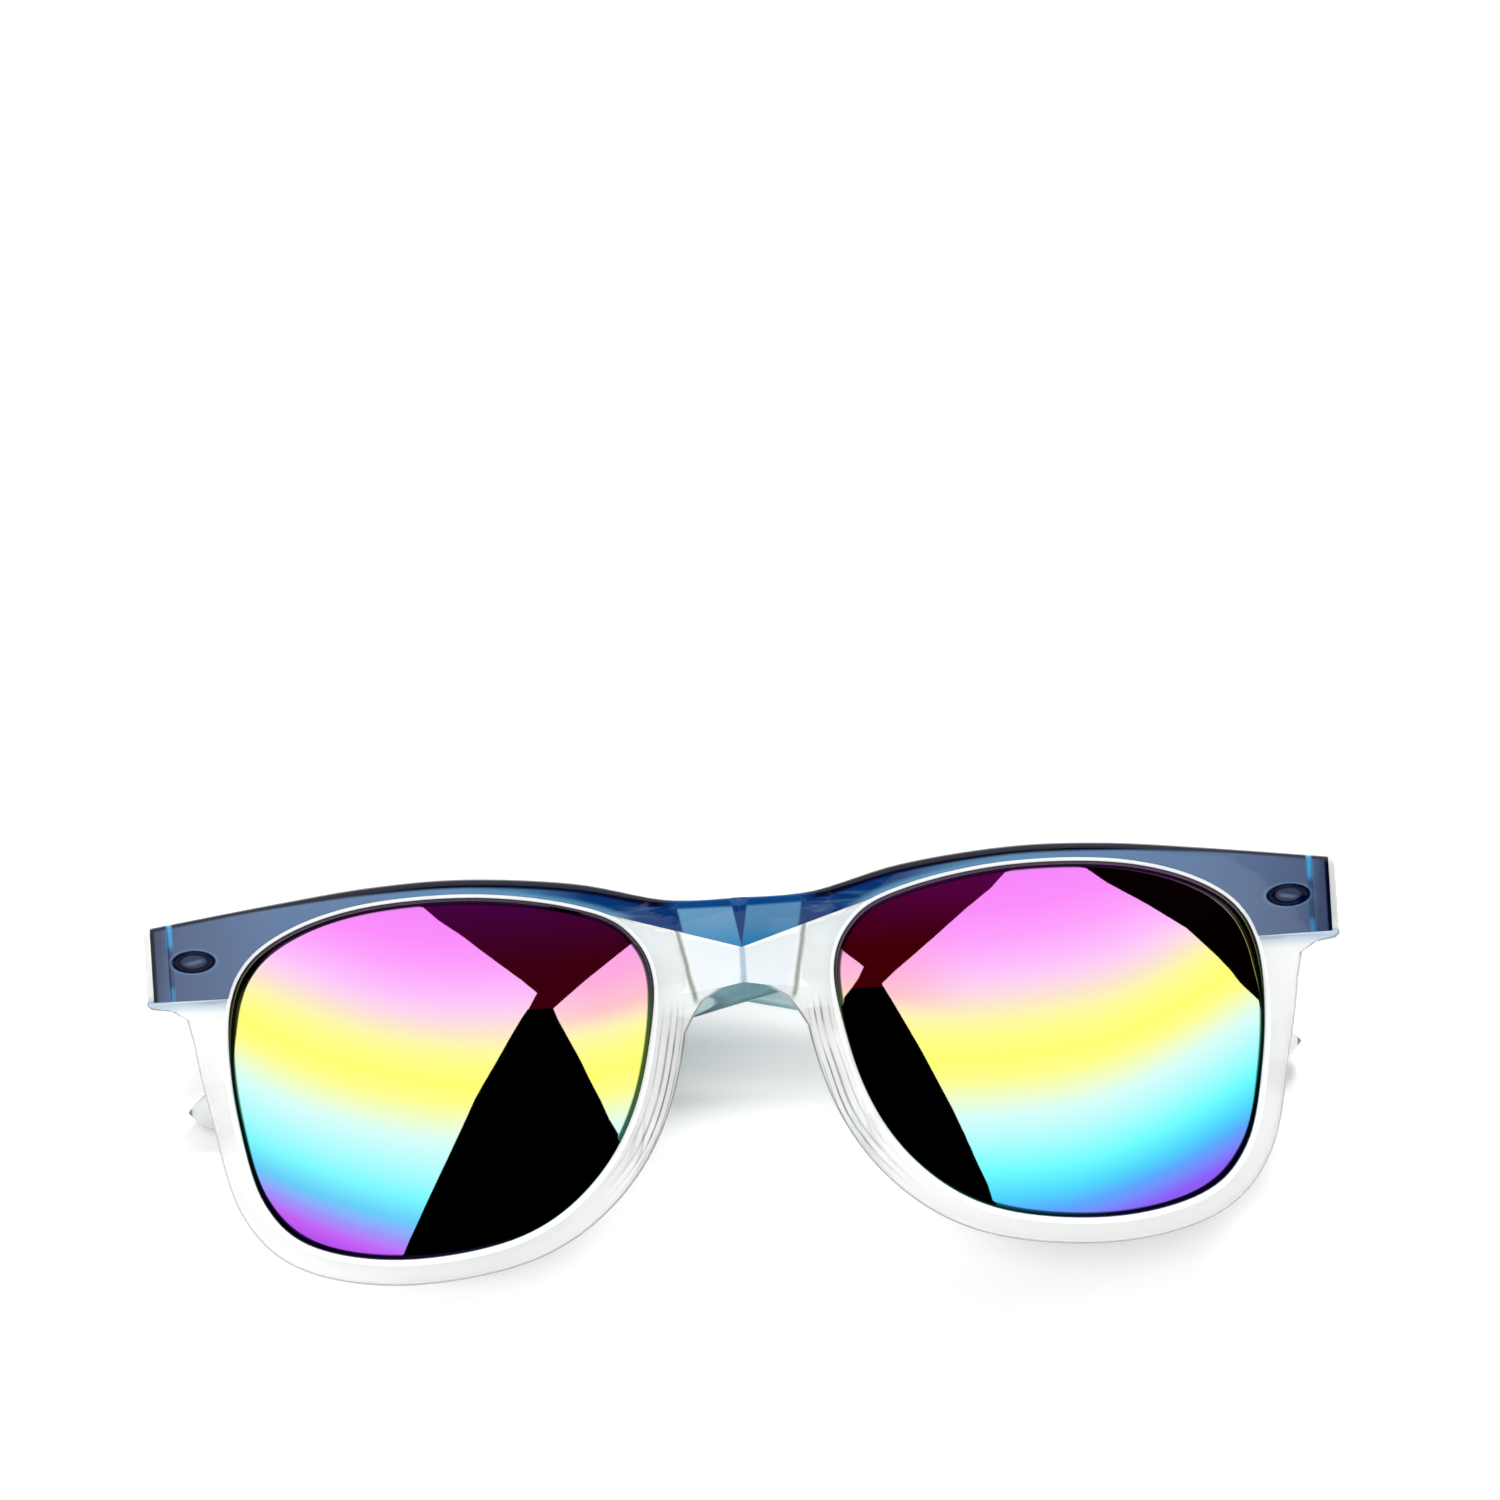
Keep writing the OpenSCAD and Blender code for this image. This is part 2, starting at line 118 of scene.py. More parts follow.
# a material or the world, and its nodes
class Finish:
    def __init__(self, name, world=None):
        self.material = world or bpy.data.materials.new(name)
        self.material.use_nodes = True
        self.tree = self.material.node_tree
        self.shader = self.tree.nodes.get("Principled BSDF")

    def put(self, socket, value):
        if isinstance(value, Wire):
            self.tree.links.new(value.socket, socket)
        else:
            socket.default_value = value

    def add(self, kind, settings, inputs, out=0):
        node = self.tree.nodes.new("ShaderNode" + kind)
        for key, value in settings.items():
            if key == "stops":
                ramp = node.color_ramp
                while len(ramp.elements) < len(value):
                    ramp.elements.new(0.5)
                for element, (place, colour) in zip(ramp.elements, value):
                    element.position = place
                    element.color = colour
            else:
                setattr(node, key, value)
        for key, value in inputs.items():
            self.put(node.inputs[key], value)
        return Wire(self, node.outputs[out])

    def mix(self, factor, first, second):
        return self.add("Mix", {"data_type": "RGBA"}, {0: factor, 6: first, 7: second}, 2)

    def ramp(self, value, stops):
        return self.add("ValToRGB", {"stops": stops}, {"Fac": value})

    def after(self, value, low, high):  # 0 at low, 1 at high, smooth between
        return self.add("MapRange", {"interpolation_type": "SMOOTHSTEP"},
                        {"Value": value, "From Min": low, "From Max": high})

    def until(self, value, low, high):  # 1 at low, 0 at high
        return 1 - self.after(value, low, high)

    def place(self):  # u, v and w of the front's own frame, in mm, and all three as one vector
        here = self.add("TexCoord", {}, {}, "Object")
        turned = self.add("Mapping", {}, {
            "Vector": here, "Location": toFront.translation,
            "Rotation": turn.transposed().to_euler(), "Scale": (1000, 1000, 1000)})
        return [self.add("SeparateXYZ", {}, {0: turned}, k) for k in range(3)] + [turned]

    def stretch(self, vector, scale):
        return self.add("Mapping", {}, {"Vector": vector, "Scale": scale})

    def noise(self, vector, scale, detail=3.0):
        return self.add("TexNoise", {}, {"Vector": vector, "Scale": scale, "Detail": detail})

    def attribute(self, name):
        return self.add("Attribute", {"attribute_name": name}, {}, "Fac")

    def bump(self, height, strength, distance):
        return self.add("Bump", {}, {"Height": height, "Strength": strength, "Distance": distance},
                        "Normal")

    def surface(self, colour, roughness, others):
        inputs = {"Base Color": colour, "Roughness": roughness, **others}
        for key, value in inputs.items():
            self.put(self.shader.inputs[key], value)
        return self.material


def facetSide(side, v):  # distance from the middle along the lean of the facets' edges
    return side + (bridge["facetTop"][1] - v) * bridge["lean"]


clearLook = {
    "tint": paint(252, 253, 252),
    "facet": paint(246, 252, 255),  # the bridge's two facets
    "ridge": paint(190, 208, 224),  # the line where they meet
    "shade": paint(118, 126, 118),  # the line beside them
    "paintedBlueShine": paint(120, 170, 205),  # painted blue light from the blue layer, shining into the clear plastic under the endpieces
    "outline": paint(78, 74, 70),  # rounded edges bend the light away and look grey
    "edgeLine": (0.08, 0.36),  # fades over this distance from the outline
    "edgeDepth": (0.7, 1.6),  # and from the front's face
    "paintedStreak": paint(84, 78, 74),  # painted shade lines, lengthwise on the rims beside the nose, where the nose pads behind them show through
    "paintedPadLines": [  # share of the rim's width, half width, strength
        (0.34, 0.035, 0.4), (0.56, 0.05, 0.65), (0.74, 0.035, 0.9), (0.9, 0.03, 0.5)],
    "noseFoot": (-33, -25),  # where the painted lines fade
    "noseTop": (-10.5, -8),
    "noseSide": (21, 30),
    "bevel": paint(252, 254, 255),  # painted highlight: the bright strip between the blue layer and the lens
    "bevelStreak": paint(206, 222, 232),
    "groove": paint(12, 14, 22),  # the dark line along the lens: its own dark edge seen through the rim, with painted shade from the groove
    "grooveGlint": paint(70, 76, 92),
    "grooveWidth": (0.14, 0.4),  # its width on the low rims and on the high ones
    "ior": 1.47,
    "transmission": 0.5,  # the rest is a milky white
    "facetTransmission": 0.3,
    "bevelTransmission": 0.2,
    "roughness": 0.05,
    "smear": 0.06,  # extra roughness where hands have touched it
    "smearScale": 0.12,
    "flowScale": 0.35,  # the slow waves of a moulded face
    "bump": (0.12, 0.0004),
}


def besideLens(look, v):  # the dark line along the lens, its dark edge with painted shade from the groove, thinner on the low rims
    thin, wide = clearLook["grooveWidth"]
    reach = thin + look.after(v, -14, -5) * (wide - thin)
    return look.until(look.attribute("toLens") - reach, -0.05, 0.05)


def clearPlastic(name, transmission):
    look = Finish(name)
    u, v, w, here = look.place()
    side = abs(u)
    slant = facetSide(side, v)
    flow = look.noise(here, clearLook["flowScale"], 2.0)
    overNose = look.after(v, -9, -7.8)
    onFacet = look.until(slant, 7.3, 7.8) * overNose
    tint = look.mix(onFacet * 0.8, clearLook["tint"], clearLook["facet"])
    tint = look.mix(look.until(side, 0.15, 0.5) * onFacet, tint, clearLook["ridge"])
    besideFacet = look.until(abs(slant - 8.2 - flow * 0.4), 0.05, 0.5) * overNose
    tint = look.mix(besideFacet * 0.8, tint, clearLook["shade"])
    # painted blue light under the endpieces
    underEnd = look.after(v, -6.6, -5.0) * look.until(v, -4.6, -4.4) * look.after(side, 56, 60)
    tint = look.mix(underEnd * 0.5, tint, clearLook["paintedBlueShine"])
    # painted shade lines on the rims beside the nose, standing in for the nose pads seen through
    # the rim
    nose = (look.until(v, *clearLook["noseTop"]) * look.after(v, *clearLook["noseFoot"])
            * look.until(side, *clearLook["noseSide"]))
    across = look.attribute("across") + (look.noise(here, 0.07, 1.0) - 0.5) * 0.3
    broken = 0.3 + look.after(look.noise(here, 0.12, 2.0), 0.4, 0.6) * 0.7
    for middle, half, strength in clearLook["paintedPadLines"]:
        line = look.until(abs(across - middle), half * 0.3, half)
        tint = look.mix(line * nose * broken * strength, tint, clearLook["paintedStreak"])
    edgeLine = (look.until(look.attribute("toEdge"), *clearLook["edgeLine"])
                * look.until(look.attribute("deep"), *clearLook["edgeDepth"]))
    overArch = look.until(side, 6, 9) * look.until(v, -5.5, -4.5)
    tint = look.mix(edgeLine * (0.7 + (nose + overArch) * 0.2), tint, clearLook["outline"])
    tint = look.mix(besideLens(look, v), tint, clearLook["groove"])
    touched = look.after(look.noise(here, clearLook["smearScale"]), 0.45, 0.75)
    return look.surface(tint, clearLook["roughness"] + touched * clearLook["smear"], {
        "Transmission Weight": transmission,
        "IOR": clearLook["ior"],
        "Normal": look.bump(flow, *clearLook["bump"]),
    })


# a milkier, whiter copy of the clear plastic: painted highlight where the bevel between the blue
# layer and the lens catches the light
def clearBevel():
    look = Finish("clearBevel")
    u, v, w, here = look.place()
    paintedStreak = look.after(look.noise(here, 0.16, 2.0), 0.5, 0.8)
    tint = look.mix(paintedStreak * 0.5, clearLook["bevel"], clearLook["bevelStreak"])
    tint = look.mix(besideLens(look, v), tint, clearLook["groove"])
    return look.surface(tint, clearLook["roughness"] + paintedStreak * 0.05, {
        "Transmission Weight": clearLook["bevelTransmission"], "IOR": clearLook["ior"]})


# a dark, opaque finish for the faces right beside the lens: the lens's dark edge with painted shade
# from the groove, and painted glints
def lensGroove():
    look = Finish("lensGroove")
    here = look.place()[3]
    glint = look.after(look.noise(here, 0.4, 2.0), 0.62, 0.8)
    tint = look.mix(glint * 0.5, clearLook["groove"], clearLook["grooveGlint"])
    return look.surface(tint, 0.2 + glint * 0.1, {})


blueLook = {
    "along": [  # distance from the middle in mm, screen colour
        (0, (2, 52, 116)), (19, (2, 54, 118)), (26, (66, 122, 166)), (34, (92, 142, 184)),
        (46, (98, 132, 172)), (58, (98, 124, 162)), (67, (90, 108, 142)),
        (69.6, (84, 102, 136)), (70.8, (66, 80, 112))],
    "alongEnd": 72,
    "lowEdge": paint(98, 158, 192),  # lighter foot beside the lenses
    "band": paint(3, 10, 34),  # the dark rounded top edge
    "bridgeBand": paint(0, 70, 134),  # and the same over the bridge
    "bandWidth": (0.3, 0.85),  # out at the ends and near the bridge
    "facetTop": paint(104, 158, 196),
    "facetFoot": paint(42, 138, 196),
    "facetShade": paint(40, 92, 150),  # the facet turned away from the light
    "wedge": paint(0, 56, 122),
    "shadedRing": paint(2, 10, 44),  # painted shade on the wall of the oval marks
    "halo": paint(104, 146, 196),  # their lit rim
    "dish": paint(58, 74, 108),  # their floor
    "glint": paint(176, 196, 220),
    "paintedStreak": paint(84, 184, 238),  # painted highlight on the lit ends of the upright grooves
    "grooveFloor": paint(76, 98, 136),
    "ior": 1.49,
    "transmission": 0.2,
    "specular": 0.3,
    "markSpecular": 0.06,  # painted shade: the oval marks reflect less, so they look darker than the face round them
    "coat": 0.4,  # as a share of the specular level
    "roughness": 0.05,
    "bump": (0.1, 0.0003),
}


def bluePlastic(name, specular):
    look = Finish(name)
    u, v, w, here = look.place()
    side = abs(u)
    reach = look.attribute("reach")
    rise = look.attribute("rise")
    stops = [(x / blueLook["alongEnd"], paint(*colour)) for x, colour in blueLook["along"]]
    cloud = (look.noise(here, 0.09, 2.0) - 0.5) * 0.06
    face = look.ramp(side / blueLook["alongEnd"] + cloud, stops)

    # streaks that flow along the brow, and the lighter foot
    flowing = look.after(look.noise(look.stretch(here, (0.12, 1.1, 1)), 1.0, 2.0), 0.5, 0.7)
    face = look.mix(flowing * look.until(side, 18, 30) * 0.25, face, blueLook["facetTop"])
    low = look.until(rise, 0.04, 0.34) * look.until(side, 24, 38)
    face = look.mix(low * 0.85, face, blueLook["lowEdge"])

    # facets and wedge on the bridge
    facet = look.mix(look.after(v, -2.5, 2.0), blueLook["facetFoot"], blueLook["facetTop"])
    facet = look.mix(look.after(u, -0.2, 0.2) * 0.3, facet, blueLook["facetShade"])
    face = look.mix(look.until(facetSide(side, v), 7.5, 7.9), face, facet)
    fromWedge = side - (v - brow["tip"]) * bridge["wedgeLean"]
    face = look.mix(look.until(fromWedge, -0.12, 0.12), face, blueLook["wedge"])

    # dark top edge and ends
    thin, wide = blueLook["bandWidth"]
    width = thin + look.until(side, 36, 62) * (wide - thin)
    band = look.mix(look.until(side, 7, 10), blueLook["band"], blueLook["bridgeBand"])
    face = look.mix(look.until(reach - width, 0, 0.4), face, band)
    face = look.mix(look.after(side, 71.1, 71.45), face, blueLook["band"])

    # upright grooves, with painted highlights at their ends
    inGroove = look.until(abs(side - brow["grooveAt"]), 0.12, 0.5)
    bright = look.after(v, 1.2, 2.4) + look.until(v, -3.6, -2.6) * 0.6
    floor = look.mix(bright, blueLook["grooveFloor"], blueLook["paintedStreak"])
    face = look.mix(inGroove, face, floor)

    # oval marks, with painted shade on their walls, a painted lit rim and a painted glint; far is 1
    # on their outline
    fromOval = side - brow["ovalAt"]
    long, high = brow["ovalSize"]
    far = ((fromOval / (long / 2)) ** 2 + (v / (high / 2)) ** 2) ** 0.5
    face = look.mix(look.until(far, 1.06, 1.24) * 0.6, face, blueLook["halo"])
    face = look.mix(look.until(far, 0.98, 1.08), face, blueLook["shadedRing"])
    face = look.mix(look.until(far, 0.5, 0.66), face, blueLook["dish"])
    glint = look.until(abs(v + 0.15 + fromOval * 0.2), 0.02, 0.42) * look.until(far, 0.2, 0.6)
    face = look.mix(glint * 0.3, face, blueLook["glint"])
    fine = look.after(look.noise(here, 0.9, 4.0), 0.5, 0.8)
    return look.surface(face, blueLook["roughness"] + fine * 0.05, {
        "Transmission Weight": blueLook["transmission"],
        "IOR": blueLook["ior"],
        "Specular IOR Level": specular,
        "Coat Weight": specular * blueLook["coat"],
        "Normal": look.bump(look.noise(here, 0.3, 2.0), *blueLook["bump"]),
    })


coatingLook = {
    "dip": -19.3,  # height of the yellow band's lowest place
    "dipSide": 29.0,  # and its distance from the middle
    "smile": 0.0091,  # how much the bands curve up from there
    "warm": paint(255, 150, 168),  # beside the nose
    "warmShare": 0.42,
    "roughness": 0.015,
    "dust": 0.02,
    "bands": [  # height over the yellow band, screen colour
        (-23, (168, 50, 232)), (-19.5, (200, 100, 252)), (-17.5, (160, 150, 255)),
        (-15, (104, 206, 252)), (-12, (124, 250, 255)), (-8.5, (176, 254, 255)),
        (-5, (216, 255, 250)), (-2.8, (238, 255, 206)), (-0.5, (255, 254, 146)),
        (2, (255, 255, 116)), (4.5, (255, 254, 136)), (6.5, (255, 250, 164)),
        (8.5, (254, 232, 204)), (10.5, (254, 214, 238)), (13, (254, 190, 254)),
        (16.5, (254, 162, 253)), (20, (253, 142, 253)), (26, (244, 132, 250))],
    "rightLow": [  # the same for the low part of the right lens
        (-23, (150, 70, 226)), (-20, (140, 98, 252)), (-17, (92, 168, 255)),
        (-15, (80, 215, 255)), (-12, (110, 254, 254)), (-8.5, (172, 254, 255))],
    # painted shade along the rim, where the groove shades the lens
    "edgeShade": (0.05, 0.12, 0.08, 1.0),
}


def mirrorCoating():
    look = Finish("mirrorCoating")
    u, v, w, here = look.place()
    side = abs(u)
    wave = look.noise(here, 0.03, 1.0) * 3 - 1.5
    smile = (side - coatingLook["dipSide"]) ** 2 * coatingLook["smile"]
    height = v - coatingLook["dip"] - smile + wave
    leftBands = coatingLook["bands"]
    lowest, highest = leftBands[0][0], leftBands[-1][0]
    lastLow = coatingLook["rightLow"][-1][0]
    rightBands = coatingLook["rightLow"] + [band for band in leftBands if band[0] > lastLow]
    share = (height - lowest) / (highest - lowest)
    ramps = [look.ramp(share, [((q - lowest) / (highest - lowest), paint(*colour))
                               for q, colour in bands]) for bands in (leftBands, rightBands)]
    rainbow = look.mix(look.after(u, -2, 2), *ramps)
    besideNose = look.until(side, 17, 29) * look.after(height, 7, 10) * look.until(height, 13, 20)
    rainbow = look.mix(besideNose * coatingLook["warmShare"], rainbow, coatingLook["warm"])
    shaded = look.add("Mix", {"data_type": "RGBA", "blend_type": "MULTIPLY"},
                      {0: 1.0, 6: rainbow, 7: coatingLook["edgeShade"]}, 2)
    rainbow = look.mix(look.attribute("edge"), rainbow, shaded)
    dust = look.after(look.noise(here, 2.2, 5.0), 0.62, 0.8) * coatingLook["dust"]
    return look.surface(rainbow, coatingLook["roughness"] + dust, {"Metallic": 1.0})


armLook = {
    "along": [  # share of the length, screen colour of the broad side and of the thin edges
        (0.0, (18, 66, 128), (6, 28, 70)), (0.12, (26, 92, 146), (8, 44, 84)),
        (0.3, (104, 172, 188), (14, 84, 96)), (0.44, (152, 184, 194), (4, 72, 80)),
        (0.54, (178, 204, 210), (8, 88, 92)), (0.64, (228, 240, 240), (110, 160, 158)),
        (0.8, (246, 249, 248), (186, 192, 184)), (0.94, (248, 250, 247), (120, 122, 112))],
    "transmission": 0.9,
}


def armPlastic():  # the same clear plastic as the front's, tinted
    look = Finish("armPlastic")
    here = look.place()[3]
    along = look.attribute("along") + look.noise(here, 0.05, 2.0) * 0.06
    broad = look.ramp(along, [(s, paint(*side)) for s, side, edge in armLook["along"]])
    thin = look.ramp(along, [(s, paint(*edge)) for s, side, edge in armLook["along"]])
    tint = look.mix(look.after(look.attribute("brim"), 0.82, 0.97) * 0.95, broad, thin)
    touched = look.after(look.noise(here, 0.15), 0.5, 0.75)
    return look.surface(tint, clearLook["roughness"] + touched * clearLook["smear"], {
        "Transmission Weight": armLook["transmission"],
        "IOR": clearLook["ior"],
        "Normal": look.bump(look.noise(here, 0.3, 2.0), *clearLook["bump"]),
    })


steelLook = {
    "dark": paint(150, 150, 154),
    "light": paint(204, 204, 206),
    "grain": (900, 9000, 9000),  # brushed lengthwise
    "roughness": 0.24,
    "grainRoughness": 0.2,
    "bump": (0.15, 0.0001),
}


def hingeSteel():
    look = Finish("hingeSteel")
    here = look.add("TexCoord", {}, {}, "Object")
    brushed = look.noise(look.stretch(here, steelLook["grain"]), 1.0, 4.0)
    tint = look.mix(brushed, steelLook["dark"], steelLook["light"])
    return look.surface(tint, steelLook["roughness"] + brushed * steelLook["grainRoughness"], {
        "Metallic": 1.0,
        "Normal": look.bump(brushed, *steelLook["bump"]),
    })


def curvePoint(a, b, c, d, t):  # on the smooth curve through four points, between b and c
    return 0.5 * (2 * b + (c - a) * t + (2 * a - 5 * b + 4 * c - d) * t * t
                  + (3 * b - a - 3 * c + d) * t * t * t)


def closedAt(knots, p):
    n = len(knots)
    i = math.floor(p)
    return curvePoint(*(Vector(knots[(i + k) % n]) for k in (-1, 0, 1, 2)), p - i)


def openAt(knots, p):
    n = len(knots)
    i = min(max(math.floor(p), 0), n - 2)
    return curvePoint(*(Vector(knots[min(max(i + k, 0), n - 1)]) for k in (-1, 0, 1, 2)), p - i)


lens = {  # drawn for the right lens and mirrored for the left one
    "middle": (36.5, -15.9),
    "size": (52.4, 42.8),
    "knots": [  # shares of half the width and half the height, clockwise from the nose's side
        (-0.965, 0.45), (-0.86, 0.765), (-0.6, 0.915), (-0.15, 1), (0.35, 0.975), (0.72, 0.84),
        (0.93, 0.62), (1, 0.25), (0.975, -0.2), (0.88, -0.65), (0.66, -0.905),
        (0.22, -0.998), (-0.3, -0.9), (-0.65, -0.61), (-0.87, -0.16)],
    "thickness": 1.8,
    "radius": 130.0,
    "ball": (17.7191, -15.9, -131.106),  # centre of the lens's curve
    "edgeRows": (0.6, 0.3, 0.0, -0.35, -0.55),  # from inside the rim's groove to the open face
    "faceRows": (0.92, 0.84, 0.74, 0.64, 0.54, 0.44, 0.34, 0.24, 0.14, 0.05),
    "edgeRound": 0.12,
}

front = {
    "bend": 250.0,  # radius of the wrap
    "thickness": 5.0,
    "rim": 3.3,
    "noseExtra": 1.1,  # how much wider the rims are beside the nose
    "flare": 1.5,  # and where they meet the endpieces
    "archTop": -6.2,
    "archFoot": (5.0, -8.2),
    "cornerFoot": -5.6,
    "browLine": [(0, 4.0), (8.724, 4.2), (19.629, 6.8), (32.715, 8.1), (44.347, 7.8),
                 (56.706, 6.4), (72.1, 4.3)],
    "side": [  # the endpiece's outline, from the brow's end to the corner over the rim
        (72.1, 4.3), (72.7, 3.6), (72.7, -0.8), (72.7, -5.1), (72.2, -5.6)],
    "edgeRound": 0.45,
    "dome": 0.55,  # how much the rims are rounded towards both edges
    "padDepth": 5.0,
    "padLean": 0.3,
    "padTop": -10.0,
    "padFoot": -28.0,
    "padSide": 26.0,
    "padWidth": (1.3, 4.3),  # distance from the opening
    "padRows": (0.12, 0.3, 0.5, 0.68, 0.84, 0.94, 1.0),
    "blocks": [  # low and high corners of the blocks behind an endpiece that hold the hinge leaf
        ((61.6, -5.1, -15.33), (68.9, 3.7, -13.2)), ((67.9, -5.1, -17.9), (72.4, 3.7, -13.4))],
    "blockRound": 0.3,
}

brow = {
    "thickness": 1.8,
    "gap": 0.85,  # clear strip between it and the lens
    "play": 0.03,  # it stands off its bed by this much
    "foot": -4.7,
    "tip": -2.0,
    "side": 71.8,
    "topRound": 0.95,  # radius of its upper front edge
    "edgeRound": 0.14,
    "ovalAt": 66.6,
    "ovalSize": (5.4, 2.7),
    "ovalRings": [  # share of the size, height over the face
        (1.0, 2.0), (1.0, -0.2), (0.9, -0.45), (0.74, -0.56), (0.55, -0.6), (0.35, -0.61),
        (0.15, -0.61)],
    "grooveAt": 69.4,
    "grooveWidth": 0.6,
    "grooveDepth": 0.35,
}

bridge = {  # the two flat facets over the nose and the wedge between them
    "facetTop": (7.7, 4.0),
    "facetFoot": (5.4, -7.4),
    "lean": 0.2,  # of the facets' outer edges
    "fade": 3.4,  # width of the slope back up to the face
    "depth": 0.75,
    "wedgeTop": 1.1,
    "wedgeLean": 0.183,
}

clearFinish = clearPlastic("clearPlastic", clearLook["transmission"])
facetFinish = clearPlastic("clearFacet", clearLook["facetTransmission"])
litBevelFinish = clearBevel()
grooveFinish = lensGroove()
blueFinish = bluePlastic("bluePlastic", blueLook["specular"])
shadedMarkFinish = bluePlastic("shadedBlueMark", blueLook["markSpecular"])
mirrorFinish = mirrorCoating()
armFinish = armPlastic()
steelFinish = hingeSteel()
print("stage: finishes ready")


def lensAt(p):
    share = closedAt(lens["knots"], p)
    return Vector((lens["middle"][0] + share.x * lens["size"][0] / 2,
                   lens["middle"][1] + share.y * lens["size"][1] / 2))


def outwardAt(p):
    d = lensAt(p + 0.2) - lensAt(p - 0.2)
    return Vector((-d.y, d.x)).normalized()


def rimWidthAt(p):
    width = front["rim"] + front["noseExtra"] * max(0, -outwardAt(p).x) ** 2
    if outwardAt(p).x > 0.6:
        width += front["flare"] * min(1, max(0, (lensAt(p).y + 20.5) / 11.5)) ** 1.5
    return width


def rimAt(p):
    return lensAt(p) + outwardAt(p) * rimWidthAt(p)


# the front's outline goes round with the opening's knots: bridge, brow, endpiece, rim, nose arch
knotCount = len(lens["knots"])
rimRange = [k / 5 for k in range(30, 75)
            if rimAt(k / 5).y < front["cornerFoot"] - 3.2
            and (rimAt(k / 5).x > lens["middle"][0] or rimAt(k / 5).y < front["archFoot"][1] - 1.5)]
rimFirst, rimLast = rimRange[0], rimRange[-1]
underCorner = rimAt(rimFirst)
browStops = [1.0, 1.45, 2.1, 3.0, 3.9, 4.8, 5.65]
sideStops = list(zip((5.65, 5.76, 6.05, 6.34, 6.42), front["side"])) + [
    (6.6, (underCorner.x + 2.6, -5.9)), (6.7, (underCorner.x + 0.7, -7.0)), (rimFirst, underCorner)]
archKnots = [tuple(rimAt(rimLast)), front["archFoot"], (2.5, front["archTop"] - 0.5),
             (0, front["archTop"])]
archStops = [rimLast, rimLast + (knotCount - rimLast) * 0.45, knotCount - 0.12, knotCount]
fixedSamples = {round(x, 3) for x in browStops + [x for x, _ in sideStops] + archStops[:-1]}
samples = sorted(fixedSamples | {k / 10 for k in range(10 * knotCount)
                                 if min(abs(k / 10 - x) for x in fixedSamples) > 0.045})


def stopShare(stops, p):  # where p lies among the stops, in knots
    for k in range(len(stops) - 1):
        if stops[k] <= p <= stops[k + 1]:
            return k + (p - stops[k]) / (stops[k + 1] - stops[k])
    return 0.0


def outerAt(p):
    if p <= browStops[0]:
        return Vector((0, front["archTop"] + (front["browLine"][0][1] - front["archTop"]) * p))
    if p <= browStops[-1]:
        return openAt(front["browLine"], stopShare(browStops, p))
    if p <= rimFirst:
        k = stopShare([x for x, _ in sideStops], p)
        i = min(int(k), len(sideStops) - 2)
        return Vector(sideStops[i][1]).lerp(Vector(sideStops[i + 1][1]), k - i)
    if p <= rimLast:
        return rimAt(p)
    return openAt(archKnots, stopShare(archStops, p))


opening = [lensAt(p) for p in samples]
rimWidths = [rimWidthAt(p) for p in samples]
outline = [outerAt(p) for p in samples if p >= 1]
topLine = [outerAt(1 + k * 0.05) for k in range(94)]


def nearest(u, v, line, closed):  # distance from a line of points, and the nearest point's number
    here = Vector((abs(u), v))
    gap, k = min(((here - spot).length, k) for k, spot in enumerate(line))
    for other in (k - 1, k + 1):
        if closed or 0 <= other < len(line):
            foot, share = intersect_point_line(here, line[k], line[other % len(line)])
            if 0 < share < 1:
                gap = min(gap, (here - foot.to_2d()).length)
    return gap, k


def lensDistance(u, v):  # distance from the nearer lens opening, and the rim's width there
    gap, k = nearest(u, v, opening, True)
    return gap, rimWidths[k]


def outlineDistance(u, v):
    return nearest(u, v, outline, False)[0]


def belowTop(u, v):  # how far a point lies below the front's top line
    side = min(abs(u), topLine[-1].x - 0.001)
    a, b = next((a, b) for a, b in zip(topLine, topLine[1:]) if a.x <= side <= b.x)
    return a.y + (b.y - a.y) * (side - a.x) / max(b.x - a.x, 0.001) - v


def onFront(u, v, w):  # a place on the flat sheet, bent round the wrap
    return Vector((u, v, math.sqrt((front["bend"] + w) ** 2 - u * u) - front["bend"]))


def place(loop, points):
    for vertex, point in zip(loop, points):
        vertex.co = point


def startLoop(bm, points):
    loop = bmesh.ops.create_circle(bm, cap_ends=False, segments=len(points), radius=1)["verts"]
    place(loop, points)
    return loop, [e for e in bm.edges if e.verts[0] in loop]


def nextLoop(bm, loop, edges, points):  # a new loop joined to the last one, in the same order
    made = bmesh.ops.extrude_edge_only(bm, edges=edges)["geom"]
    new = {v for v in made if isinstance(v, bmesh.types.BMVert)}
    loop = [next(e.other_vert(v) for e in v.link_edges if e.other_vert(v) in new) for v in loop]
    place(loop, points)
    return loop, [e for e in made
                  if isinstance(e, bmesh.types.BMEdge) and all(v in new for v in e.verts)]


def closeLoop(bm, edges):
    bmesh.ops.contextual_create(bm, geom=edges)


def turnOutward(bm):
    bmesh.ops.recalc_face_normals(bm, faces=bm.faces)


def cut(bm, at, normal, keep):  # a cut through the faces whose middle keep() picks
    faces = [f for f in bm.faces if keep(f.calc_center_median())]
    parts = [v for f in faces for v in f.verts] + [e for f in faces for e in f.edges] + faces
    parts = list(dict.fromkeys(parts))  # each once, in the same order on every run
    bmesh.ops.bisect_plane(bm, geom=parts, dist=0.0005, plane_co=at, plane_no=normal)


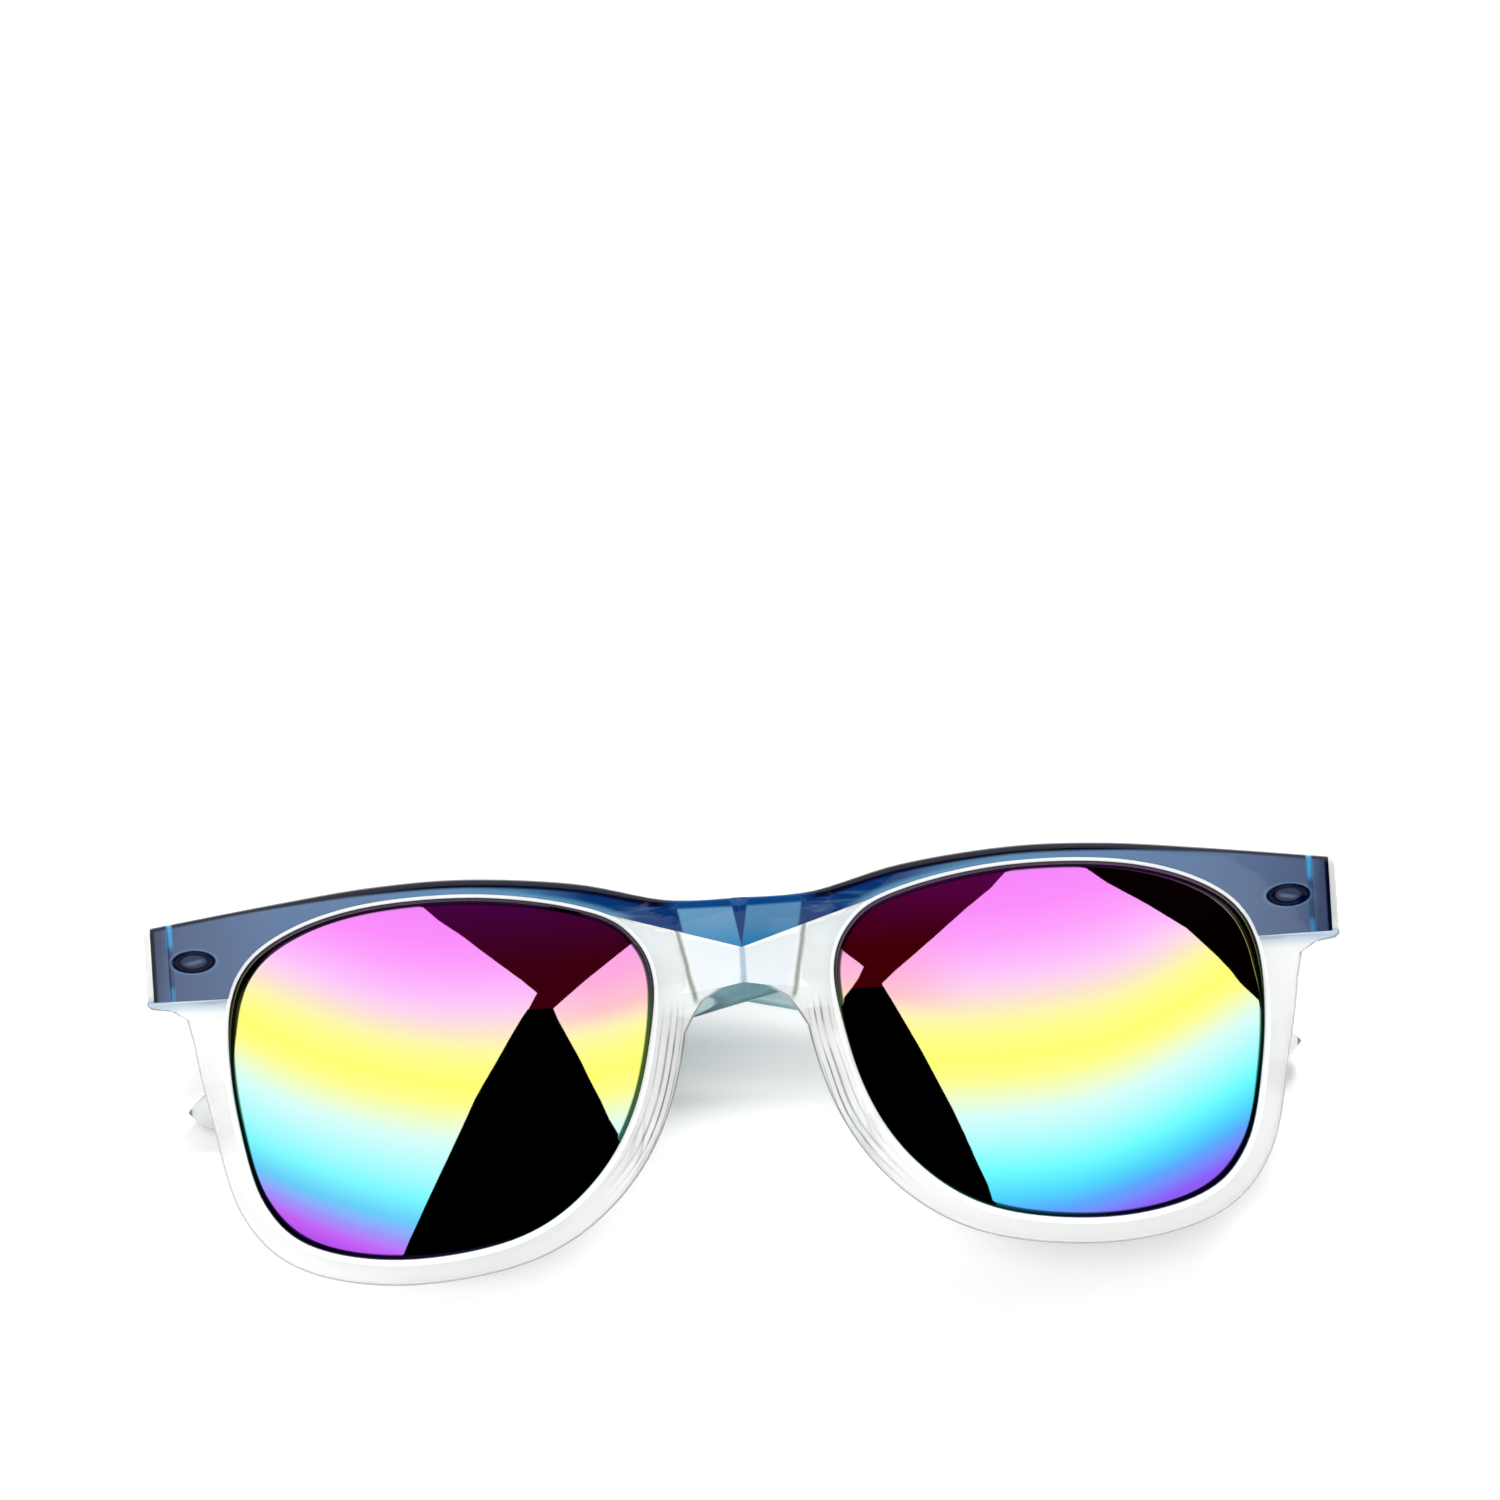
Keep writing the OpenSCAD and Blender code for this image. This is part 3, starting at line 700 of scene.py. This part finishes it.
# the front's face, laid flat, in rows out from the lens openings: the ledge up to the blue layer,
# rows by share of the way out, then rows by distance from the outline
def frontSheet(shares, margins, ledge=()):
    bm = bmesh.new()
    loop, edges = startLoop(bm, [lensAt(p).to_3d() for p in samples])
    for reach in ledge:
        points = [(lensAt(p) + outwardAt(p) * reach).to_3d() for p in samples]
        loop, edges = nextLoop(bm, loop, edges, points)
    for share, margin in [(s, margins[0]) for s in shares] + [(1, m) for m in margins]:
        points = []
        for p in samples:
            start, end = lensAt(p) + outwardAt(p) * brow["gap"], outerAt(p)
            portion = share * (1 - margin / (end - start).length)
            points.append(start.lerp(end, portion).to_3d())
        loop, edges = nextLoop(bm, loop, edges, points)
    bmesh.ops.mirror(bm, geom=bm.verts[:] + bm.edges[:] + bm.faces[:],
                     matrix=Matrix.Identity(4), merge_dist=0.01, axis="X")
    bmesh.ops.remove_doubles(bm, verts=bm.verts, dist=0.004)
    turnOutward(bm)
    return bm


def thicken(bm, depth):
    back = bmesh.ops.extrude_face_region(bm, geom=bm.faces[:])["geom"]
    bmesh.ops.translate(bm, vec=(0, 0, -depth),
                        verts=[v for v in back if isinstance(v, bmesh.types.BMVert)])
    turnOutward(bm)


def sharpEdges(bm, keep=lambda e: True):
    return [e for e in bm.edges if len(e.link_faces) == 2
            and e.calc_face_angle(0) > math.radians(60) and keep(e)]


def bevel(bm, edges, width):
    bmesh.ops.bevel(bm, geom=edges, offset=width, segments=2, profile=0.5,
                    affect="EDGES", clamp_overlap=True, material=-1)


# where the bed's lower edge meets the strip beside the lens
meet = next(g for g in (lensAt(k / 5) + outwardAt(k / 5) * brow["gap"] for k in range(75))
            if g.y > brow["foot"] and g.x > 14.9)


def insideBed(u, v):  # whether the clear front is lower here, under the blue layer
    side = abs(u)
    if side < meet.x:
        return v > brow["tip"] + (meet.y - brow["tip"]) * side / meet.x
    return v > brow["foot"] and lensDistance(u, v)[0] > brow["gap"] - 0.015


def cutBed(bm, side, shift):  # along the blue layer's lower edges, on the bridge and the endpiece
    cut(bm, (0, brow["tip"] + shift, 0), (meet.y - brow["tip"], -meet.x * side, 0),
        lambda spot: -0.5 < spot.x * side < meet.x + 1 and spot.z > -3)
    cut(bm, (0, brow["foot"] + shift, 0), (0, 1, 0),
        lambda spot: spot.x * side > 60 and spot.z > -3)


def facetDepth(u, v):  # how far the bridge's facets lie below the front's face
    side = abs(u)
    (topU, topV), (footU, footV) = bridge["facetTop"], bridge["facetFoot"]
    outer = topU + (v - topV) * (topU - footU) / (topV - footV)
    inner = max(0.0, bridge["wedgeTop"] * (v - brow["tip"]) / (topV - brow["tip"]))
    if side >= outer + bridge["fade"] or v < -12:
        return 0.0
    if side > outer:
        return bridge["depth"] * (1 - (side - outer) / bridge["fade"])
    return bridge["depth"] * max(0.0, side - inner) / (outer - inner)


def cutFacets(bm):
    (topU, topV), (footU, footV) = bridge["facetTop"], bridge["facetFoot"]
    near = lambda spot: spot.xy.length < 20
    for side in (-1, 1):
        across = (topV - footV, -(topU - footU) * side, 0)
        for out in (0, bridge["fade"]):
            cut(bm, (side * (topU + out), topV, 0), across, near)
        cut(bm, (0, brow["tip"], 0), (topV - brow["tip"], -side * bridge["wedgeTop"], 0),
            lambda spot: near(spot) and spot.y > brow["tip"] - 0.5)


# apply moves the mesh out of the front's own frame, into the part's
def toMesh(bm, name, body, finishes, stands=(), apply=True):
    if apply:
        bmesh.ops.transform(bm, matrix=toRow, verts=bm.verts)
    piece = addMesh(bm, name, finishes)
    faces = piece.data.polygons
    faces.foreach_set("use_smooth", [True] * len(faces))
    piece.modifiers.new("even", "WEIGHTED_NORMAL").keep_sharp = True
    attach(piece, body)
    if stands:
        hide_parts(*stands)
    print("stage:", name, len(faces), "faces")
    return piece


def box(bm, low, high, radius):
    made = bmesh.ops.create_cube(bm, size=1)["verts"]
    for v in made:
        v.co = Vector([low[k] if v.co[k] < 0 else high[k] for k in range(3)])
    bevel(bm, [e for e in bm.edges if e.verts[0] in made], radius)


def makeFront():
    rounding = front["edgeRound"]
    bm = frontSheet((0, 0.35, 0.7), (0.75, rounding, rounding / 3, 0),
                    (rounding / 3, rounding, brow["gap"] - brow["play"]))
    thicken(bm, front["thickness"])
    for side in (-1, 1):  # thin pairs of cuts become the walls of the blue layer's bed
        for shift in (-0.01, 0.01):
            cutBed(bm, side, shift)
    cutFacets(bm)
    for v in bm.verts:  # crowned rims, rounded edges, the facets and the bed
        u, height, w = v.co
        gap, width = lensDistance(u, height)
        crown = front["dome"] * min(1, abs(2 * gap / width - 1)) ** 3
        crown *= min(1, max(0, (-8.5 - height) / 4))
        close = max(0.0, rounding - min(gap, outlineDistance(u, height)))
        drop = rounding - math.sqrt(rounding ** 2 - close ** 2)
        if w > -2.4:
            v.co.z -= crown + facetDepth(u, height)
            v.co.z -= brow["thickness"] if insideBed(u, height) else drop
        else:
            v.co.z += crown * 0.7 + drop
    finishes = [clearFinish, litBevelFinish, grooveFinish, facetFinish]
    pads = []
    for f in bm.faces:
        spot = f.calc_center_median()
        gap = lensDistance(spot.x, spot.y)[0]
        if gap < 0.05:
            f.material_index = finishes.index(grooveFinish)
        elif gap < brow["gap"] and spot.z > -2.6 and not insideBed(spot.x, spot.y):
            f.material_index = finishes.index(litBevelFinish)
        elif spot.z > -3 and spot.y > front["archTop"] - 1 and abs(spot.x) < bridge["facetTop"][0]:
            f.material_index = finishes.index(facetFinish)
        if (f.normal.z < -0.5 and front["padFoot"] < spot.y < front["padTop"]
                and abs(spot.x) < front["padSide"]
                and front["padWidth"][0] < gap < front["padWidth"][1]):
            pads.append(f)
    layer = bm.verts.layers.float.new
    rootU, rootV = layer("rootU"), layer("rootV")  # where a vertex stood before the pads grew
    for v in bm.verts:
        v[rootU], v[rootV] = v.co.x, v.co.y
    for share in front["padRows"]:
        made = bmesh.ops.extrude_face_region(bm, geom=pads)["geom"]
        bmesh.ops.delete(bm, geom=pads, context="FACES_ONLY")
        pads = [f for f in made if isinstance(f, bmesh.types.BMFace)]
        narrow = 1 - math.sqrt(max(0, 1 - share ** 4))
        for v in {v for f in pads for v in f.verts}:
            down = (front["padTop"] - v[rootV]) / (front["padTop"] - front["padFoot"])
            swell = max(0.0, min(1, down / 0.16) * min(1, (1 - down) / 0.5))
            swell = swell * swell * (3 - 2 * swell)
            depth = front["padDepth"] * share * swell
            gap = lensDistance(v[rootU], v[rootV])[0]
            drift = (gap - 2.7) * (0.12 * share + 0.5 * narrow) * swell + front["padLean"] * depth
            v.co = (v[rootU] + math.copysign(drift, v[rootU]), v[rootV],
                    -front["thickness"] - depth)
    bmesh.ops.remove_doubles(bm, verts=bm.verts, dist=0.003)
    across = layer("across")  # 0 at the lens, 1 at the rim's outer edge
    toLens = layer("toLens")  # distance from the lens in mm
    toEdge = layer("toEdge")  # and from the outline
    deep = layer("deep")  # and from the front's face
    for v in bm.verts:
        gap, width = lensDistance(v[rootU], v[rootV])
        v[across], v[toLens] = gap / width, gap
        v[toEdge], v[deep] = outlineDistance(v[rootU], v[rootV]), -v.co.z
        v.co = onFront(*v.co)
    for side in (-1, 1):
        first = set(bm.verts)
        for low, high in front["blocks"]:
            box(bm, low, high, front["blockRound"])
        for v in set(bm.verts) - first:  # far from every line that is drawn by distance
            v[toLens] = v[toEdge] = v[deep] = 5.0
            v[across] = 0.1
        if side < 0:
            bmesh.ops.scale(bm, vec=(-1, 1, 1), verts=[v for v in bm.verts if v not in first])
    turnOutward(bm)
    piece = toMesh(bm, "frontShell", "front", finishes, ["front_frame"])
    piece.visible_shadow = False  # clear plastic leaves hardly any shadow


makeFront()


def cutter(bm, name):  # a tool for the blue layer's recesses, removed after its cut
    turnOutward(bm)
    return addMesh(bm, name, [blueFinish, shadedMarkFinish])


def ovalCutter():  # a pointed oval recess with a crowned floor, on both sides
    bm = bmesh.new()
    width, height = brow["ovalSize"]
    ovalPoints = 48
    for side in (-1, 1):
        loop = None
        for share, w in brow["ovalRings"]:
            points = []
            for i in range(ovalPoints):
                a = 2 * math.pi * i / ovalPoints
                bow = abs(math.sin(a)) ** 1.15 * math.copysign(1, math.sin(a))
                points.append(onFront(side * (brow["ovalAt"] + share * width / 2 * math.cos(a)),
                                      share * height / 2 * bow, w))
            if loop:
                loop, edges = nextLoop(bm, loop, edges, points)
            else:
                loop, edges = startLoop(bm, points)
                closeLoop(bm, edges)
        closeLoop(bm, edges)
    for f in bm.faces:
        f.material_index = 1  # the shaded copy of the blue finish
    return cutter(bm, "ovalCutter")


def grooveCutter():  # a thin upright box on each side, sunk a little into the face
    bm = bmesh.new()
    half = brow["grooveWidth"] / 2
    for side in (-1, 1):
        made = bmesh.ops.create_cube(bm, size=1)["verts"]
        for v in made:
            top = v.co.z > 0
            u = side * brow["grooveAt"] + math.copysign(half, v.co.x)
            w = 1 if top else onFront(u, 0, -brow["grooveDepth"]).z
            v.co = (u, math.copysign(6, v.co.y), w)
    return cutter(bm, "grooveCutter")


def makeBrow():
    bm = frontSheet((0, 0.5), (1.3, 1.0, 0.7, 0.4, 0.15, 0))
    for side in (-1, 1):
        cutBed(bm, side, 0)
        cut(bm, (side * brow["side"], 0, 0), (1, 0, 0), lambda spot: spot.x * side > 66)
    outside = [f for f in bm.faces if abs(f.calc_center_median().x) > brow["side"]
               or not insideBed(*f.calc_center_median().xy)]
    bmesh.ops.delete(bm, context="FACES", geom=outside)
    bmesh.ops.remove_doubles(bm, verts=bm.verts, dist=0.004)
    thicken(bm, brow["thickness"] - brow["play"])
    rounding = brow["topRound"]
    onTop = lambda v: belowTop(v.co.x, v.co.y) < rounding and v.co.z > -0.2
    bevel(bm, sharpEdges(bm, lambda e: not all(onTop(v) for v in e.verts)), brow["edgeRound"])
    for v in bm.verts:
        if onTop(v):
            close = min(rounding, rounding - belowTop(v.co.x, v.co.y))
            v.co.z -= rounding - math.sqrt(rounding ** 2 - close ** 2)
    cutFacets(bm)
    for v in bm.verts:
        v.co.z -= facetDepth(v.co.x, v.co.y) * (1.0 if v.co.z > -1.2 else 0.98)
        v.co = onFront(*v.co)
    piece = toMesh(bm, "browLayer", "front", [blueFinish, shadedMarkFinish],
                   ["brow_layer"], False)
    tools = [ovalCutter(), grooveCutter()]
    for tool in tools:
        hole = piece.modifiers.new(tool.name, "BOOLEAN")
        hole.object = tool
        hole.solver = "EXACT"
        piece.modifiers.move(len(piece.modifiers) - 1, 0)
    depsgraph = bpy.context.evaluated_depsgraph_get()
    bm = bmesh.new()
    bm.from_mesh(bpy.data.meshes.new_from_object(piece.evaluated_get(depsgraph)))
    for modifier in [m for m in piece.modifiers if m.type == "BOOLEAN"]:
        piece.modifiers.remove(modifier)
    for tool in tools:
        bpy.data.objects.remove(tool)
    reach = bm.verts.layers.float.new("reach")  # distance below the top line in mm
    rise = bm.verts.layers.float.new("rise")  # 0 beside the lens, 1 at the top line
    for v in bm.verts:
        v[reach] = belowTop(v.co.x, v.co.y)
        gap = max(0.0, lensDistance(v.co.x, v.co.y)[0] - brow["gap"])
        v[rise] = gap / (gap + max(v[reach], 0.01))
    bmesh.ops.transform(bm, matrix=toRow, verts=bm.verts)
    bm.to_mesh(piece.data)
    bm.free()
    print("stage: oval marks and grooves cut", len(piece.data.polygons), "faces")


makeBrow()


def makeLens(side, name, node):
    bm = bmesh.new()
    ball = Vector(lens["ball"])
    middle = Vector(lens["middle"])
    around = [k / 10 for k in range(10 * knotCount)]
    edge = bm.verts.layers.float.new("edge")  # 1 along the rim, where the coating is painted darker as shade from the rim's groove
    inmost = lens["edgeRows"][-1]
    rows = [(grow, 1) for grow in lens["edgeRows"]]
    rows += [(inmost, share) for share in lens["faceRows"]]
    frontRadius, backRadius = lens["radius"], lens["radius"] - lens["thickness"]

    def rowPoints(grow, share, radius):
        points = []
        for p in around:
            q = middle.lerp(lensAt(p) + outwardAt(p) * grow, share)
            drop = radius ** 2 - (q.x - ball.x) ** 2 - (q.y - ball.y) ** 2
            points.append(Vector((q.x, q.y, ball.z + math.sqrt(drop))))
        return points

    backLoop, backEdges = startLoop(bm, rowPoints(*rows[0], backRadius))
    loop, edges = nextLoop(bm, backLoop, backEdges, rowPoints(*rows[0], frontRadius))
    for v in loop + backLoop:
        v[edge] = 1.0
    for grow, share in rows[1:]:
        loop, edges = nextLoop(bm, loop, edges, rowPoints(grow, share, frontRadius))
        for v in loop:
            v[edge] = 0.0 if grow == inmost else 1.0
    closeLoop(bm, edges)
    loop, edges = backLoop, backEdges
    for grow, share in rows[1:]:
        loop, edges = nextLoop(bm, loop, edges, rowPoints(grow, share, backRadius))
    closeLoop(bm, edges)
    bevel(bm, sharpEdges(bm), lens["edgeRound"])
    if side < 0:
        bmesh.ops.scale(bm, vec=(-1, 1, 1), verts=bm.verts)
    turnOutward(bm)
    toMesh(bm, name, "front", [mirrorFinish], [node])


makeLens(-1, "leftMirror", "left_lens")
makeLens(1, "rightMirror", "right_lens")


arm = {  # lengths along it are measured from the hinge's axis
    "length": 135.0,
    "thickness": 3.4,
    "bow": 1000.0,  # radius of its inner side
    "inset": 2.3,
    "hingeAt": 66.0,
    "rootRound": 0.7,
    "tipRound": 2.0,
    "corner": 5.0,  # higher is squarer
    "around": 28,
    "rootRows": [0.15, 0.2, 0.35, 0.7],
    "rowStep": 2.5,
    "tipRows": [124.5, 126.5, 128.5, 130, 131.2, 132.2, 133, 133.6, 134.1, 134.5, 134.78, 134.94,
                135.0],
    "top": [(0.15, 4.0), (29.7, 4.0), (49.95, 2.968), (66.15, 0.064), (85.05, -5.216),
            (105.3, -10.056), (122.85, -13.4), (129.5, -14.9), (132.6, -16.4), (135.0, -18.6)],
    "low": [(0.15, -5.6), (29.7, -5.5), (49.95, -6.332), (66.15, -9.436), (85.05, -14.016),
            (105.3, -18.256), (122.85, -20.6), (129.5, -21.2), (132.6, -20.9), (135.0, -18.9)],
}


def heightOn(knots, s):  # height of the arm's upper or lower line at a length along it
    for k in range(60 * (len(knots) - 1)):
        a, b = openAt(knots, k / 60), openAt(knots, (k + 1) / 60)
        if a.x <= s <= b.x + 1e-6:
            return a.y + (b.y - a.y) * (s - a.x) / max(b.x - a.x, 1e-6)
    return knots[-1][1] if s > knots[-1][0] else knots[0][1]


def makeArm(side, fold, name, body, node):
    bm = bmesh.new()
    along = bm.verts.layers.float.new("along")  # share of the length
    brim = bm.verts.layers.float.new("brim")  # 1 on the thin upper and lower edges
    hinge = Vector((-side * arm["hingeAt"], 0, hingeDepth))
    turnArm = Matrix.Rotation(math.radians(fold) * side, 4, "Y")
    root, tipFrom = arm["rootRows"][0], arm["length"] - arm["tipRound"]
    count = arm["around"]
    rows = arm["rootRows"] + [k * arm["rowStep"] for k in range(1, 50)] + arm["tipRows"]
    for s in rows:
        top, low = heightOn(arm["top"], s), heightOn(arm["low"], s)
        inner = arm["bow"] - arm["inset"] - math.sqrt(arm["bow"] ** 2 - s * s)
        outer = arm["bow"] - arm["inset"] - math.sqrt((arm["bow"] + arm["thickness"]) ** 2 - s * s)
        tight, squeeze = 1.0, 0.3  # narrower at both ends, and how far that reaches up and down
        if s < arm["rootRound"]:
            close = (arm["rootRound"] - s) / 0.56 if s > root else 1
            tight = 0.86 + 0.14 * math.sqrt(1 - close ** 2)
        if s > tipFrom:
            tight = max(0.3, math.sqrt(max(0, 1 - ((s - tipFrom) / arm["tipRound"]) ** 2)))
            squeeze = 0
        points, brims = [], []
        for k in range(count):
            a = 2 * math.pi * (k + 0.5) / count
            c, d = math.cos(a), math.sin(a)
            x = math.copysign(abs(c) ** (2 / arm["corner"]), c)
            y = math.copysign(abs(d) ** (2 / arm["corner"]), d)
            v = (top + low) / 2 + (top - low) / 2 * y * (1 - (1 - tight) * squeeze)
            w = (inner + outer) / 2 + (inner - outer) / 2 * x * tight
            brims.append(abs(y))
            points.append(hinge + turnArm @ Vector((side * s, v, w)))
        if s > root:
            loop, edges = nextLoop(bm, loop, edges, points)
        else:
            loop, edges = startLoop(bm, points)
            closeLoop(bm, edges)
        for v, share in zip(loop, brims):
            v[along], v[brim] = s / arm["length"], share
    closeLoop(bm, edges)
    turnOutward(bm)
    toMesh(bm, name, body, [armFinish], [node])


makeArm(1, 8.0, "leftArmShell", "left_temple", "left_arm")
makeArm(-1, 3.5, "rightArmShell", "right_temple", "right_arm")

for name, cadNode in frame["nodes"].items():
    if name.endswith(("_leaf", "_screw")):
        cadNode.data.materials.clear()
        cadNode.data.materials.append(steelFinish)


studio = {
    "cameraAt": (2.65, 25.85, 989.97),  # in the front's own frame, mm
    "cameraRight": (0.99811, -0.06142, 0.00005),
    "cameraUp": (0.06142, 0.9981, -0.0043),
    "focal": 197.49,
    "sensor": 36,
    "floorColour": paint(250, 250, 250),
    "floorGlow": 0.14,
    "floorSize": 4,  # half width in metres
    "ambient": 0.58,
    "skyColour": paint(255, 255, 255),
    "horizon": (0.1, 0.5),  # the low sky is darker through the clear plastic
    "horizonShade": 0.85,
    "horizonGloss": 0.4,  # share of that for glossy rays
    "flagHeight": 50.0,  # dark flags that only glossy rays see, in the front's own frame
    "flagStep": 0.25,  # each hangs a little nearer than the one before
    "flagNeck": (4, 34),  # where a flag's first colour gives way to its second
    "flags": [  # colours at the neck and above it, corners
        ((0.045, 0.0, 0.006), (0.075, 0.006, 0.08), [
            (-29.5, -5.0), (-34.6, -3.8), (-32.2, 0.2), (-35.6, 3.3), (-48.3, 13.7), (-63.1, 25.1),
            (-79.7, 38.4), (-53, 45.2), (-16.1, 48), (-1, 44), (-1, 16.9), (-9.4, 10.8),
            (-21.1, 2.4), (-28.7, -3.5)]),
        ((0, 0, 0), (0, 0, 0), [
            (-34.4, -3.3), (-28.75, -3.4), (-27.7, -6.2), (-23.3, -15.4), (-17.7, -29.1),
            (-12.5, -43.2), (-9, -54.4), (-18, -76), (-43, -84), (-74.3, -80), (-75.5, -68.6),
            (-65.1, -51.7), (-56, -36.8), (-47.8, -23.1), (-39.2, -10), (-36, -5.3)]),
        ((0.05, 0.0, 0.003), (0.13, 0.006, 0.1), [
            (17.0, -4.0), (9.5, -4.0), (12.6, 1.4), (1.9, 11.5), (2.5, 40), (23.1, 48), (80, 42),
            (54.9, 27.5), (42.4, 17.8), (30.7, 8.8), (19.7, 0.3), (16.5, -2.6)]),
        ((0, 0, 0), (0, 0, 0), [
            (9.9, -3.3), (16.8, -3.3), (24.1, -17.8), (30.5, -31.7), (36.4, -46.2), (42.5, -61.9),
            (24, -68), (9, -60), (1.2, -40), (1.2, -18.7), (2, -12), (7.9, -6.3)]),
        ((0.001, 0.0, 0.0), (0.003, 0.0, 0.001), [
            (46.7, 31.5), (56.2, 27.5), (75.2, 17.4), (94.1, 7.3), (107, -3.3), (117.9, -14.5),
            (124.1, -20.9), (152.4, -13.4), (151.6, 60), (70, 60)])],
    "lamps": [  # place, size in metres and power; both look at the origin
        ((-0.5, -0.4, 1.3), 1.0, 9.0),
        ((0.25, 0.8, 1.0), 0.45, 9.5)],
}


def addCamera():
    data = bpy.data.cameras.new("camera")
    data.lens, data.sensor_width = studio["focal"], studio["sensor"]
    data.clip_start, data.clip_end = 0.01, 20
    camera = addObject("camera", data)
    right = (turn.to_3x3() @ Vector(studio["cameraRight"])).normalized()
    up = (turn.to_3x3() @ Vector(studio["cameraUp"])).normalized()
    back = right.cross(up).normalized()
    camera.matrix_world = Matrix.Translation(toRow @ Vector(studio["cameraAt"])) @ Matrix(
        (right, back.cross(right), back)).transposed().to_4x4()
    bpy.context.scene.camera = camera


def addSheet(bm, look, *inputs):  # a sheet of the studio, which isn't part of the object
    sheet = addMesh(bm, look.material.name, [look.surface(*inputs)])
    return sheet


def addFloor():
    bm = bmesh.new()
    bmesh.ops.create_grid(bm, x_segments=1, y_segments=1, size=studio["floorSize"])
    addSheet(bm, Finish("floor"), studio["floorColour"], 0.9, {
        "Specular IOR Level": 0.1, "Emission Color": (1, 1, 1, 1),
        "Emission Strength": studio["floorGlow"]})


def addLamps():
    for place, size, power in studio["lamps"]:
        data = bpy.data.lights.new("lamp", "AREA")
        data.shape, data.size, data.energy = "DISK", size, power
        lamp = addObject("lamp", data)
        lamp.location = place
        lamp.rotation_euler = Vector(place).to_track_quat("Z", "Y").to_euler()
        lamp.visible_camera = lamp.visible_glossy = False


def addSky():
    world = bpy.data.worlds.new("studioWorld")
    bpy.context.scene.world = world
    look = Finish("studioWorld", world)
    direct, glossy, through = (look.add("LightPath", {}, {}, "Is %s Ray" % kind)
                               for kind in ("Camera", "Glossy", "Transmission"))
    seen = direct.maths("MAXIMUM", direct, glossy)
    seen = seen.maths("MAXIMUM", seen, through)
    way = look.add("TexCoord", {}, {}, "Generated")
    low = look.until(look.add("SeparateXYZ", {}, {0: way}, 2), *studio["horizon"])
    shade = (through + glossy * studio["horizonGloss"]) * low * studio["horizonShade"]
    strength = studio["ambient"] + seen * (1 - studio["ambient"])
    background = look.tree.nodes["Background"]
    look.put(background.inputs["Color"], studio["skyColour"])
    look.put(background.inputs["Strength"], strength * (1 - shade))


def addFlags():
    for k, (neck, above, corners) in enumerate(studio["flags"]):
        bm = bmesh.new()
        height = studio["flagHeight"] - studio["flagStep"] * k
        bm.faces.new([bm.verts.new((u, v, height)) for u, v in corners])
        bmesh.ops.transform(bm, matrix=toRow, verts=bm.verts)
        look = Finish("flag" + str(k))
        share = look.after(look.place()[1], *studio["flagNeck"])
        flag = addSheet(bm, look, (0, 0, 0, 1), 1.0, {
            "Specular IOR Level": 0.0,
            "Emission Color": look.mix(share, neck + (1,), above + (1,)),
            "Emission Strength": 1.0})
        flag.visible_camera = flag.visible_diffuse = False
        flag.visible_shadow = flag.visible_transmission = False


addCamera()
addFloor()
addLamps()
addSky()
addFlags()
bpy.context.scene.view_settings.view_transform = "Standard"
print("stage: studio ready")
